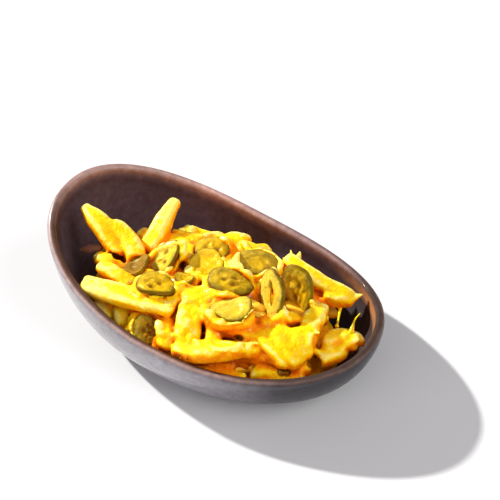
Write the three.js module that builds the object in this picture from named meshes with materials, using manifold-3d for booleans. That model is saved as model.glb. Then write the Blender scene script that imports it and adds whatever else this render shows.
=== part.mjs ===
// Oval boat-shaped bowl with a high end, filled with a heap of thick-cut fries under melted cheese,
// with slices of pickled green chilli on top.
//
// Millimetres. The origin is the centre of the bowl's flat foot, on the surface it stands on.
// +X runs along the bowl towards its low end, +Y across it, +Z up.
import * as THREE from "three";
import { mergeVertices } from "three/addons/utils/BufferGeometryUtils.js";
import Module from "manifold-3d";

// ---------------------------------------------------------------- bowl sizes
const RIM_HALF_LENGTH = 104; // outside of the rim, along X
const RIM_HALF_WIDTH = 66; // outside of the rim, along Y
const RIM_CENTRE_X = -1.1; // the rim's centre leans a little towards the high end
const RIM_SQUARENESS = 2.17; // exponent of the rim's oval: 2 is an ellipse
const RIM_EGG = -0.038; // the high end is a little broader than the low end
const RIM_MEAN_HEIGHT = 46; // the rim's top follows MEAN + SLOPE u + SADDLE (u^2 - 1/2), u = -1..1 along X
const RIM_SLOPE = -13.2;
const RIM_SADDLE = 18.7;
const RIM_FRONT_RISE = 2.8; // and the front of the rim, towards -Y, stands this much higher
const FOOT_HALF_LENGTH = 70; // flat foot under the bowl
const FOOT_HALF_WIDTH = 45;
const WALL_BULGE = 1.8; // exponent of the wall's rounding from the foot up to the rim
const LIP_THICKNESS = 5.4; // rounded lip all round
const FLOOR_THICKNESS = 5;
const FLOOR_INSET = 4; // the inside floor is this much smaller than the foot all round
const BOWL_SEGMENTS = 68;
const WALL_STEPS = 6;
const LIP_STEPS = 4;

// ---------------------------------------------------------------- food sizes
const GAP = 0.35; // clear space between neighbouring solids
const FRY_WIDTH = 10.5; // thick-cut fry with its coat of cheese
const FRY_THICKNESS = 9.6;
const FRY_SIDES = 8;
const FRY_END_SCALE = 0.72; // fries narrow at their ends
const SLICE_SEGMENTS = 16;
// the packed fries below, and the blanket of melted cheese over the middle that the slices lie in
const MOUND = { x: 2, y: -10, halfLength: 84, halfWidth: 55, base: 9, rise: 31, waviness: 1.6, round: 32, up: 14 };
const CHEESE = { x: 4, y: -7, halfLength: 46, halfWidth: 30, base: 30, rise: 19.5, waviness: 0.8, round: 24, up: 10 };
const CAVITY_TOP = 95; // the space above the bowl that the heap may stand up into

// Each fry: middle of the chord x, y, z; length; heading and pitch in degrees; how far its middle
// bows sideways and upwards from the chord; width and thickness where they differ from the usual.
const FRIES = [
  // the high end: two broad fries that lean on the wall, an upright one and what lies under them
  [-71, -10, 50.5, 34, -20, -20, 0, 0, 13.5, 10],
  [-57, -13.5, 46.5, 36, -39, -19, 6.5, 1, 12, 10],
  [-76, -19, 42.5, 16, 22, 16, -1, 0, 5.5, 4.5],
  [-55, -25, 41, 33, -12, -2, 0.5, 0.5],
  [-54, -25, 34.5, 30, -33, 0],
  [-46, 15, 47, 38, -90, -18, -1, 0, 12, 10],
  // the long fry along the front wall and the short ends below it
  [-31, -42.5, 46, 58, 10, 1, 0.3, 0.5, 11.5, 11],
  [-45, -48.5, 35, 15, -13, -28, 1.2, 0, 8.5, 8],
  [-34, -47.5, 34, 15, -52, -38, 0.6, 0.7, 9, 8],
  [-22, -47.5, 35, 18, 50, 32, -0.7, 0.7, 8, 7],
  // behind the chilli slices
  [-31, 19.5, 39.5, 25, 8, 10, -2.3, 1.8, 11, 10],
  [-35, 7, 40.5, 29, 9, 13, 3, 0.3, 10, 9],
  [-6, 28.5, 41, 27, 34, 0, -2, 2, 8.5, 8],
  [6, 25, 40, 20, 25, 0, 0.5, 2, 9, 8],
  // the low end: a long fry down the back wall, its crisp tip and the cluster at the rim
  [52, 29.5, 39, 49, -1, -12, -3, 2.2, 10.5, 10],
  [66.5, 25.5, 35.5, 21, 20, -15, -1.2, 0.5, 11, 10],
  [53, 22, 32.5, 24, 2, -8, -0.4, 0.5, 10, 9],
  [75, 29.5, 35, 10, 51, 14, 0, 0, 3.6, 3.2],
  [66.5, -5.5, 40, 34, -82, -7, -1.4, 4, 13, 11],
  [83, -2, 34.5, 25, -131, 7, -1.9, 0.6, 8.5, 8],
  [81.5, -12, 31.5, 19, -122, 3, 0, 1.4, 10, 9],
  [80.5, -3.5, 29.5, 22, -126, 3, 0, 0.6, 10, 9],
  // the front, from the low end back
  [57.5, -30, 42, 30, 1, -20, 0, 2, 13, 10],
  [64, -23, 40, 25, -12, -26, 0, 2.3, 13, 10],
  [56.5, -40, 30.5, 25, 31, 2, 0.9, 1.6, 8, 8],
  [31.5, -45, 39, 43, 24, 8, 0, 2, 10.5, 9],
  [21, -38, 44, 19, -63, -13, 0.6, 0, 8, 8],
  [36.5, -33, 43.5, 26, 5, -9, 1.7, 0.7],
  [-1.5, -50, 37, 19, -61, -24, 0.3, 0, 11, 10],
  [6.5, -42.5, 41.5, 31, -75, -20, 0.3, 1.3, 12, 10],
  // between and under the chilli slices
  [1.5, -26, 46, 22, 6, 3, 0.2, 0.5, 12, 10],
  [-21, 2, 44.5, 20, -61, 3, 0, 0.5, 8, 8],
  [31, -14, 45.5, 18, 3, -7, 0.3, 0.9, 9, 8],
  [53, -17.5, 44.5, 18, -5, -11, -0.7, 0.5, 10, 9],
  [32, -11.5, 44, 29, -41, -4, -1.1, 0, 11, 9],
  [26, -26, 47, 25, 24, -3, 0, 0.5, 10, 8],
  [22, 12, 44, 27, -35, 2, 0, 1, 10, 9],
  [-40, -17, 41, 27, 62, 3],
  // the layer below, seen through the gaps
  [-9.5, -40.5, 35, 43, -13, -10, -0.6, 1.6],
  [26, -34, 33, 42, -13, -14, -2.2, 1.5],
  [-15.5, -15, 42, 41, 5, 3, -2, 0],
  [13, 11, 41, 40, 5, 0, -3, 1],
  [55.5, 1, 36.5, 31, -21, -4, -0.8, 1],
  [40, -22, 37.5, 42, -8, -12, -0.6, 2.2],
  [-40, -36.5, 33.5, 49, -19, -5, -0.5, 1],
  [19, -41.5, 30, 40, -5, -10, -4, 0],
  // along the front wall, under the rim
  [-60, -37, 28, 36, -26, 4, 0, 1],
  [-10, -53, 28, 36, -4, 3, 0, 1],
  [26, -52, 26, 42, 7, 2, 0, 1],
  [62, -38, 26, 30, 28, 4, 0, 1],
  // the back of the heap, down its slope to the wall
  [-40, 6, 36, 46, -14, -4, 0, 1],
  [-9, 22, 35, 48, 13, 3, 1, 1],
  [25, 21, 35, 46, -7, 0, 0, 1],
  [47, 17, 32, 44, -22, -8, 0, 1],
  [-58, -2, 34, 42, 28, 6, 0, 1],
  [-56, 16, 31, 34, -66, -12, 1, 1],
  [-22, 35, 25, 44, 4, -6, 0, 1],
  [24, 36, 23, 42, -12, 6, 0, 1],
  [4, 33, 30, 30, 58, -14, 0, 1],
  [44, 31, 27, 32, -40, 10, 0, 1],
];

// Each chilli slice: centre x, y, z; heading and tilt of its axis and spin about it, in degrees;
// long and short half-widths, thickness, and the open middle as a share of the half-widths.
const SLICES = [
  [-40.2, -20.9, 48.0, -165, 30, -143, 9.2, 7.8, 4.2, 0.34],
  [-27.2, -10.3, 52.5, -133, 39, -157, 11.8, 9.5, 4.4, 0.36],
  [-19.1, -33.2, 54.5, 57, 10, -36, 12.0, 8.8, 4.4, 0.36],
  [-3.9, -3.2, 52.8, -110, 14, 130, 11.0, 10.2, 4.4, 0.5],
  [-9.9, 12.0, 47.5, -12, 9, 46, 10.8, 10.0, 4.2, 0.4],
  [19.9, 13.1, 51.0, 29, 6, -5, 13.0, 10.6, 4.4, 0.4],
  [16.0, -10.6, 54.6, 8, 12, 14, 13.4, 9.8, 4.4, 0.45],
  [26.8, -27.0, 54.0, 174, 7, -138, 12.6, 9.3, 4.4, 0.38],
  [40.4, -6.1, 53.5, -124, 63, -139, 15.2, 10.3, 4.4, 0.4],
  [49.9, 7.3, 49.0, -100, 74, -161, 16.6, 10.8, 4.4, 0.42],
  [-14.8, -51.2, 36.8, -20, 33, 165, 9.6, 7.6, 4.0, 0.34],
  [-9.0, -19.8, 53.0, 29, 6, 1, 5.6, 4.6, 3.4, 0.3],
];

const wasm = await Module();
wasm.setup();

// ---------------------------------------------------------------- helpers
const deg = THREE.MathUtils.degToRad;
const lerp = THREE.MathUtils.lerp;

// Moves every vertex of a primitive by a function of its position and uv, then keeps positions only,
// with shared vertices merged and the faces turned outwards.
function reshape(geometry, move) {
  const g = geometry.clone();
  const p = g.getAttribute("position");
  const uv = g.getAttribute("uv");
  const v = new THREE.Vector3();
  for (let i = 0; i < p.count; i++) {
    v.fromBufferAttribute(p, i);
    move(v, uv ? uv.getX(i) : 0, uv ? uv.getY(i) : 0);
    p.setXYZ(i, v.x, v.y, v.z);
  }
  g.deleteAttribute("normal");
  g.deleteAttribute("uv");
  return outward(mergeVertices(g, 1e-4));
}

function outward(g) {
  const p = g.getAttribute("position");
  const index = g.index.array;
  const [a, b, c] = [new THREE.Vector3(), new THREE.Vector3(), new THREE.Vector3()];
  let volume = 0;
  const kept = [];
  for (let i = 0; i < index.length; i += 3) {
    const [i0, i1, i2] = [index[i], index[i + 1], index[i + 2]];
    if (i0 === i1 || i1 === i2 || i2 === i0) continue; // the collapsed faces at a pole
    kept.push(i0, i1, i2);
    a.fromBufferAttribute(p, i0);
    b.fromBufferAttribute(p, i1);
    c.fromBufferAttribute(p, i2);
    volume += a.dot(b.cross(c));
  }
  if (volume < 0) for (let i = 0; i < kept.length; i += 3) [kept[i], kept[i + 1]] = [kept[i + 1], kept[i]];
  g.setIndex(kept);
  return g;
}

function toSolid(g) {
  return new wasm.Manifold(
    new wasm.Mesh({
      numProp: 3,
      vertProperties: new Float32Array(g.getAttribute("position").array),
      triVerts: new Uint32Array(g.index.array),
    }),
  );
}

function toGeometry(solid) {
  const m = solid.getMesh();
  return new THREE.BufferGeometry()
    .setAttribute("position", new THREE.BufferAttribute(new Float32Array(m.vertProperties), 3))
    .setIndex(new THREE.BufferAttribute(new Uint32Array(m.triVerts), 1));
}

// ---------------------------------------------------------------- bowl surfaces
const signedPower = (c, q) => Math.sign(c) * Math.abs(c) ** q;

// A point of the rim at angle t, moved in by inset and down by drop from the rim's top.
function rimPoint(t, inset, drop, out) {
  const u = signedPower(Math.cos(t), 2 / RIM_SQUARENESS);
  const w = signedPower(Math.sin(t), 2 / RIM_SQUARENESS);
  return out.set(
    RIM_CENTRE_X + u * (RIM_HALF_LENGTH - inset),
    w * (RIM_HALF_WIDTH - inset) * (1 + RIM_EGG * u),
    RIM_MEAN_HEIGHT + RIM_SLOPE * u + RIM_SADDLE * (u * u - 0.5) + RIM_FRONT_RISE * Math.min(w, 0) ** 2 - drop,
  );
}

// The wall rises from an oval of the given half sizes at height z0 to the rim, s = 0..1 from foot to rim.
const rim = new THREE.Vector3();
function wallPoint(t, s, halfLength, halfWidth, z0, inset, out) {
  rimPoint(t, inset, LIP_THICKNESS / 2, rim);
  const a = (s * Math.PI) / 2;
  const r = Math.sin(a) ** (2 / WALL_BULGE);
  const h = 1 - Math.cos(a) ** (2 / WALL_BULGE);
  return out.set(
    lerp(halfLength * Math.cos(t), rim.x, r),
    lerp(halfWidth * Math.sin(t), rim.y, r),
    lerp(z0, rim.z, h),
  );
}

// The bowl's section from the middle of the foot, out, up, over the lip, down and back in.
function bowlStations() {
  const list = [(t, v) => v.set(0, 0, 0)];
  for (let i = 0; i <= WALL_STEPS; i++)
    list.push((t, v) => wallPoint(t, i / WALL_STEPS, FOOT_HALF_LENGTH, FOOT_HALF_WIDTH, 0, 0, v));
  for (let i = 1; i < LIP_STEPS; i++) {
    const a = (i / LIP_STEPS) * Math.PI;
    const half = LIP_THICKNESS / 2;
    list.push((t, v) => rimPoint(t, half - half * Math.cos(a), half - half * Math.sin(a), v));
  }
  for (let i = WALL_STEPS; i >= 0; i--)
    list.push((t, v) =>
      wallPoint(
        t,
        i / WALL_STEPS,
        FOOT_HALF_LENGTH - FLOOR_INSET,
        FOOT_HALF_WIDTH - FLOOR_INSET,
        FLOOR_THICKNESS,
        LIP_THICKNESS,
        v,
      ),
    );
  list.push((t, v) => v.set(0, 0, FLOOR_THICKNESS));
  return list;
}

// The space inside the bowl and straight up over it, a gap in from its walls.
function cavityStations() {
  const floor = FLOOR_THICKNESS + GAP;
  const inset = FLOOR_INSET + GAP;
  const list = [(t, v) => v.set(0, 0, floor)];
  for (let i = 0; i <= WALL_STEPS; i++)
    list.push((t, v) =>
      wallPoint(t, i / WALL_STEPS, FOOT_HALF_LENGTH - inset, FOOT_HALF_WIDTH - inset, floor, LIP_THICKNESS + GAP, v),
    );
  list.push((t, v) => rimPoint(t, LIP_THICKNESS + GAP, 0, v).setZ(CAVITY_TOP));
  list.push((t, v) => v.set(0, 0, CAVITY_TOP));
  return list;
}

// A lathe of as many profile points as stations gives the mesh, and each vertex moves to its station.
function turned(stations, segments) {
  const last = stations.length - 1;
  const profile = stations.map((_, i) => new THREE.Vector2(i === 0 || i === last ? 0 : 1, i));
  return reshape(new THREE.LatheGeometry(profile, segments), (v, u, w) =>
    stations[Math.round(w * last)](u * 2 * Math.PI, v),
  );
}

// ---------------------------------------------------------------- fries and mound
function fry([x, y, z, length, heading, pitch, bowSide = 0, bowUp = 0, width = FRY_WIDTH, thickness = FRY_THICKNESS]) {
  const along = new THREE.Vector3(1, 0, 0).applyEuler(new THREE.Euler(0, -deg(pitch), deg(heading), "ZYX"));
  const side = new THREE.Vector3(-Math.sin(deg(heading)), Math.cos(deg(heading)), 0);
  const up = new THREE.Vector3().crossVectors(along, side);
  const steps = length > 17 ? 3 : 2;
  const stick = new THREE.CylinderGeometry(1, 1, 1, FRY_SIDES, steps);
  return reshape(stick, (v) => {
    const s = v.y; // -1/2..1/2 along the fry
    const r = Math.hypot(v.x, v.z);
    const a = Math.atan2(v.z, v.x);
    const end = lerp(1, FRY_END_SCALE, Math.abs(2 * s) ** 4);
    const bow = 1 - 4 * s * s;
    const p = signedPower(Math.cos(a), 0.5) * r * (width / 2) * end + bow * bowSide;
    const q = signedPower(Math.sin(a), 0.5) * r * (thickness / 2) * end + bow * bowUp;
    v.set(x, y, z).addScaledVector(along, s * length).addScaledVector(side, p).addScaledVector(up, q);
  });
}

// A mound with a wavy top.
function mound({ x, y, halfLength, halfWidth, base, rise, waviness, round, up }) {
  const ball = new THREE.SphereGeometry(1, round, up).rotateX(Math.PI / 2);
  return reshape(ball, (v) => {
    const wave = waviness * (Math.sin(9 * v.x + 1) * Math.cos(7 * v.y) + 0.6 * Math.sin(5 * v.y - 4 * v.x));
    const top = v.z > 1e-6 ? base + rise * v.z ** 0.8 + wave * v.z : v.z > -1e-6 ? base : base - 12 + 3 * v.z;
    v.set(x + halfLength * v.x, y + halfWidth * v.y, top);
  });
}

// ---------------------------------------------------------------- chilli slices
// A thick ring with rounded edges: long and short half-widths, thickness, and the open middle's share.
function sliceRing(a, b, thickness, hole) {
  const profile = [
    [hole, -0.5],
    [0.9, -0.5],
    [1, -0.28],
    [1, 0.28],
    [0.9, 0.5],
    [hole, 0.5],
    [hole, -0.5],
  ].map(([r, h]) => new THREE.Vector2(r, h));
  const ring = new THREE.LatheGeometry(profile, SLICE_SEGMENTS).rotateX(Math.PI / 2);
  return reshape(ring, (v) => v.set(v.x * a, v.y * b, v.z * thickness));
}

// The room a slice takes up, with no hole, a gap larger all round.
function sliceRoom(a, b, thickness) {
  const disc = new THREE.CylinderGeometry(1, 1, 1, SLICE_SEGMENTS).rotateX(Math.PI / 2);
  return reshape(disc, (v) => v.set(v.x * (a + GAP), v.y * (b + GAP), v.z * (thickness + 2 * GAP)));
}

// heading about +Z, then tilt away from it, then spin about the slice's own axis
function turnTo(object, x, y, z, heading, tilt, spin) {
  const Z = new THREE.Vector3(0, 0, 1);
  const Y = new THREE.Vector3(0, 1, 0);
  object.position.set(x, y, z);
  object.quaternion
    .setFromAxisAngle(Z, deg(heading))
    .multiply(new THREE.Quaternion().setFromAxisAngle(Y, deg(tilt)))
    .multiply(new THREE.Quaternion().setFromAxisAngle(Z, deg(spin)));
  object.updateMatrix();
  return object;
}

// ---------------------------------------------------------------- the object
const object = new THREE.Group();

const bowl = new THREE.Mesh(
  turned(bowlStations(), BOWL_SEGMENTS),
  new THREE.MeshStandardMaterial({ color: 0x3f3030, roughness: 0.22, metalness: 0 }),
);
bowl.name = "bowl";
object.add(bowl);

const chilli = new THREE.MeshStandardMaterial({ color: 0xa58c28, roughness: 0.35, metalness: 0 });
const slices = new THREE.Group();
const rooms = [];
SLICES.forEach(([x, y, z, heading, tilt, spin, a, b, thickness, hole], i) => {
  const slice = new THREE.Mesh(sliceRing(a, b, thickness, hole), chilli);
  slice.name = "chilli_slice_" + String(i + 1).padStart(2, "0");
  turnTo(slice, x, y, z, heading, tilt, spin);
  slices.add(slice);
  rooms.push(toSolid(sliceRoom(a, b, thickness).applyMatrix4(slice.matrix)));
});
object.add(slices);

let heap = toSolid(mound(MOUND)).add(toSolid(mound(CHEESE)));
for (const f of FRIES) heap = heap.add(toSolid(fry(f)));
heap = heap.intersect(toSolid(turned(cavityStations(), BOWL_SEGMENTS)));
for (const room of rooms) heap = heap.subtract(room);
// chips cut loose by the slices are dropped: the heap is its one large body
heap = heap.decompose().sort((p, q) => q.volume() - p.volume())[0];
// faces much smaller than the gap between neighbours are joined up
heap = heap.asOriginal().simplify(0.8 * GAP);

const fries = new THREE.Mesh(
  toGeometry(heap),
  new THREE.MeshStandardMaterial({ color: 0xf3bc12, roughness: 0.4, metalness: 0 }),
);
fries.name = "fries_heap";
object.add(fries);

export default object;
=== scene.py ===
"""Cheese fries with pickled chilli slices in an oval boat-shaped bowl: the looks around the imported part.

Lengths are worked out in millimetres in the row frame (+X along the bowl towards its low end,
+Y across it, +Z up, the origin at the centre of the foot) and written to the meshes in metres.
"""

import math

import bpy
import numpy as np
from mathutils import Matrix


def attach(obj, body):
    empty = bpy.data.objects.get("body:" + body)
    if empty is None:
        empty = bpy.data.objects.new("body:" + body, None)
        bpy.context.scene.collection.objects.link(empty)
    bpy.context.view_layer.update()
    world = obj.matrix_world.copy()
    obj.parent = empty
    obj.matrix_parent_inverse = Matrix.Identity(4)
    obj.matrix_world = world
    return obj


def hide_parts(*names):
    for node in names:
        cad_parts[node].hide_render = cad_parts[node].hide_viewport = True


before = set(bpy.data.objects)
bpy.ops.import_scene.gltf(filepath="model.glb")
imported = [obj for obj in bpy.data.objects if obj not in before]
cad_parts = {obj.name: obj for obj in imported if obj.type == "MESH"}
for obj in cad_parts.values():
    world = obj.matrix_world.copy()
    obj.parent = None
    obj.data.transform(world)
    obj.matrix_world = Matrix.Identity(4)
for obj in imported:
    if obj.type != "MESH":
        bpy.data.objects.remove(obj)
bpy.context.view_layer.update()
MM = 0.001


# ------------------------------------------------------------------ bowl surfaces, in millimetres
RIM_A, RIM_B, RIM_X, RIM_N, RIM_EGG = 104.0, 66.0, -1.1, 2.17, -0.038
RIM_MEAN, RIM_SLOPE, RIM_SADDLE, RIM_FRONT = 46.0, -13.2, 18.7, 2.8
FOOT_A, FOOT_B, BULGE = 70.0, 45.0, 1.8
LIP, FLOOR, FLOOR_INSET = 5.4, 5.0, 4.0


def spow(c, q):
    return np.sign(c) * np.abs(c) ** q


def rim(t, inset=0.0, drop=0.0):
    """Points of the rim at angles t, moved in by inset and down by drop from the rim's top."""
    u, w = spow(np.cos(t), 2 / RIM_N), spow(np.sin(t), 2 / RIM_N)
    return np.stack(
        [
            RIM_X + u * (RIM_A - inset),
            w * (RIM_B - inset) * (1 + RIM_EGG * u),
            RIM_MEAN
            + RIM_SLOPE * u
            + RIM_SADDLE * (u * u - 0.5)
            + RIM_FRONT * np.minimum(w, 0) ** 2
            - drop,
        ],
        -1,
    )


def wall(t, s, a, b, z0, inset):
    """Points of the wall from an oval of half sizes a, b at height z0 up to the rim, s = 0..1."""
    top = rim(t, inset, LIP / 2)
    q = s * math.pi / 2
    r, h = np.sin(q) ** (2 / BULGE), 1 - np.cos(q) ** (2 / BULGE)
    foot = np.stack([a * np.cos(t), b * np.sin(t), z0 + 0 * t], -1)
    p = foot + (top - foot) * np.asarray(r)[..., None]
    p[..., 2] = z0 + (top[..., 2] - z0) * h
    return p


def inner_wall(t, s, extra=0.0):
    return wall(
        t,
        s,
        FOOT_A - FLOOR_INSET - extra,
        FOOT_B - FLOOR_INSET - extra,
        FLOOR + extra,
        LIP + extra,
    )


# ------------------------------------------------------------------ mesh helpers
def new_object(name, co, faces, material, smooth=True, attributes=None):
    """A mesh object from millimetre points and a list of faces, with its point attributes."""
    mesh = bpy.data.meshes.new(name)
    mesh.from_pydata((np.asarray(co, float) * MM).tolist(), [], faces)
    mesh.validate()
    for key, values in (attributes or {}).items():
        layer = mesh.attributes.new(key, "FLOAT", "POINT")
        layer.data.foreach_set("value", np.asarray(values, np.float32))
    if smooth:
        mesh.polygons.foreach_set("use_smooth", [True] * len(mesh.polygons))
    mesh.materials.append(material)
    mesh.update()
    if attributes:  # how far each point faces up
        normals = np.empty(len(mesh.vertices) * 3, np.float32)
        mesh.vertices.foreach_get("normal", normals)
        layer = mesh.attributes.new("up", "FLOAT", "POINT")
        layer.data.foreach_set("value", np.ascontiguousarray(normals[2::3]))
    obj = bpy.data.objects.new(name, mesh)
    bpy.context.scene.collection.objects.link(obj)
    return obj


def grid_faces(rows, columns, offset=0, close=True):
    """Quads of a sheet of rows x columns points, with the columns joined up into a ring."""
    i, j = np.meshgrid(
        np.arange(rows - 1), np.arange(columns if close else columns - 1), indexing="ij"
    )
    k = (j + 1) % columns
    a, b, c, d = (
        i * columns + j,
        i * columns + k,
        (i + 1) * columns + k,
        (i + 1) * columns + j,
    )
    return (np.stack([a, b, c, d], -1).reshape(-1, 4) + offset).tolist()


def coarse_noise(shape, step, scale, seed):
    """Smooth noise of about -1..1 on a grid of the given shape and spacing, with bumps of scale mm."""
    rng = np.random.default_rng(seed)
    small = [int(math.ceil(n * step / scale)) + 4 for n in shape]
    g = rng.uniform(-1, 1, small)
    for axis, n in enumerate(shape):
        x = np.arange(n) * step / scale + 1
        i = np.floor(x).astype(int)
        f = x - i
        w = [
            (1 - f) ** 3 / 6,
            (3 * f**3 - 6 * f**2 + 4) / 6,
            (-3 * f**3 + 3 * f**2 + 3 * f + 1) / 6,
            f**3 / 6,
        ]
        g = np.moveaxis(g, axis, 0)
        g = sum(
            g[i - 1 + k] * w[k].reshape((-1,) + (1,) * (g.ndim - 1)) for k in range(4)
        )
        g = np.moveaxis(g, 0, axis)
    return (g * 2.2).astype(np.float32)


# ------------------------------------------------------------------ node helpers
def material(name):
    m = bpy.data.materials.new(name)
    m.use_nodes = True
    m.node_tree.nodes.clear()
    out = m.node_tree.nodes.new("ShaderNodeOutputMaterial")
    bsdf = m.node_tree.nodes.new("ShaderNodeBsdfPrincipled")
    m.node_tree.links.new(bsdf.outputs[0], out.inputs[0])
    return m, m.node_tree, bsdf


def lin(r, g, b):
    """A colour given as 0-255 display values, as linear RGBA."""
    f = lambda c: c / 12.92 if c <= 0.04045 else ((c + 0.055) / 1.055) ** 2.4
    return (f(r / 255), f(g / 255), f(b / 255), 1.0)


def ramp(nt, fac, stops, interpolation="EASE"):
    n = nt.nodes.new("ShaderNodeValToRGB")
    n.color_ramp.interpolation = interpolation
    e = n.color_ramp.elements
    e[0].position, e[0].color = stops[0][0], stops[0][1]
    e[1].position, e[1].color = stops[-1][0], stops[-1][1]
    for pos, col in stops[1:-1]:
        e.new(pos).color = col
    nt.links.new(fac, n.inputs[0])
    return n.outputs[0]


def attribute(nt, name):
    n = nt.nodes.new("ShaderNodeAttribute")
    n.attribute_name = name
    return n.outputs["Fac"]


def texture(nt, scale, detail=3.0, rough=0.55, distort=0.0, stretch=None):
    """Noise over the object's own coordinates; scale is in bumps per metre."""
    c = nt.nodes.new("ShaderNodeTexCoord").outputs["Object"]
    if stretch:
        m = nt.nodes.new("ShaderNodeMapping")
        m.inputs["Scale"].default_value = stretch
        nt.links.new(c, m.inputs[0])
        c = m.outputs[0]
    n = nt.nodes.new("ShaderNodeTexNoise")
    n.inputs["Scale"].default_value = scale
    n.inputs["Detail"].default_value = detail
    n.inputs["Roughness"].default_value = rough
    n.inputs["Distortion"].default_value = distort
    nt.links.new(c, n.inputs["Vector"])
    return n.outputs["Fac"]


def maths(nt, op, a, b=None, c=None, clamp=False):
    n = nt.nodes.new("ShaderNodeMath")
    n.operation = op
    n.use_clamp = clamp
    for i, v in enumerate((a, b, c)):
        if v is None:
            continue
        if isinstance(v, (int, float)):
            n.inputs[i].default_value = v
        else:
            nt.links.new(v, n.inputs[i])
    return n.outputs[0]


def remap(nt, v, a, b, c, d):
    n = nt.nodes.new("ShaderNodeMapRange")
    n.clamp = True
    for key, x in (("From Min", a), ("From Max", b), ("To Min", c), ("To Max", d)):
        n.inputs[key].default_value = x
    nt.links.new(v, n.inputs["Value"])
    return n.outputs[0]


def mix(nt, fac, a, b, blend="MIX"):
    n = nt.nodes.new("ShaderNodeMix")
    n.data_type = "RGBA"
    n.blend_type = blend
    for socket, v in ((n.inputs[0], fac), (n.inputs[6], a), (n.inputs[7], b)):
        if isinstance(v, (int, float, tuple)):
            socket.default_value = v
        else:
            nt.links.new(v, socket)
    return n.outputs[2]


def bump(nt, bsdf, *layers):
    """Bumps in metres: (height socket, depth) layers, one over the other."""
    last = None
    for height, depth in layers:
        n = nt.nodes.new("ShaderNodeBump")
        n.inputs["Strength"].default_value = 1.0
        n.inputs["Distance"].default_value = depth
        nt.links.new(height, n.inputs["Height"])
        if last is not None:
            nt.links.new(last, n.inputs["Normal"])
        last = n.outputs[0]
    nt.links.new(last, bsdf.inputs["Normal"])


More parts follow.
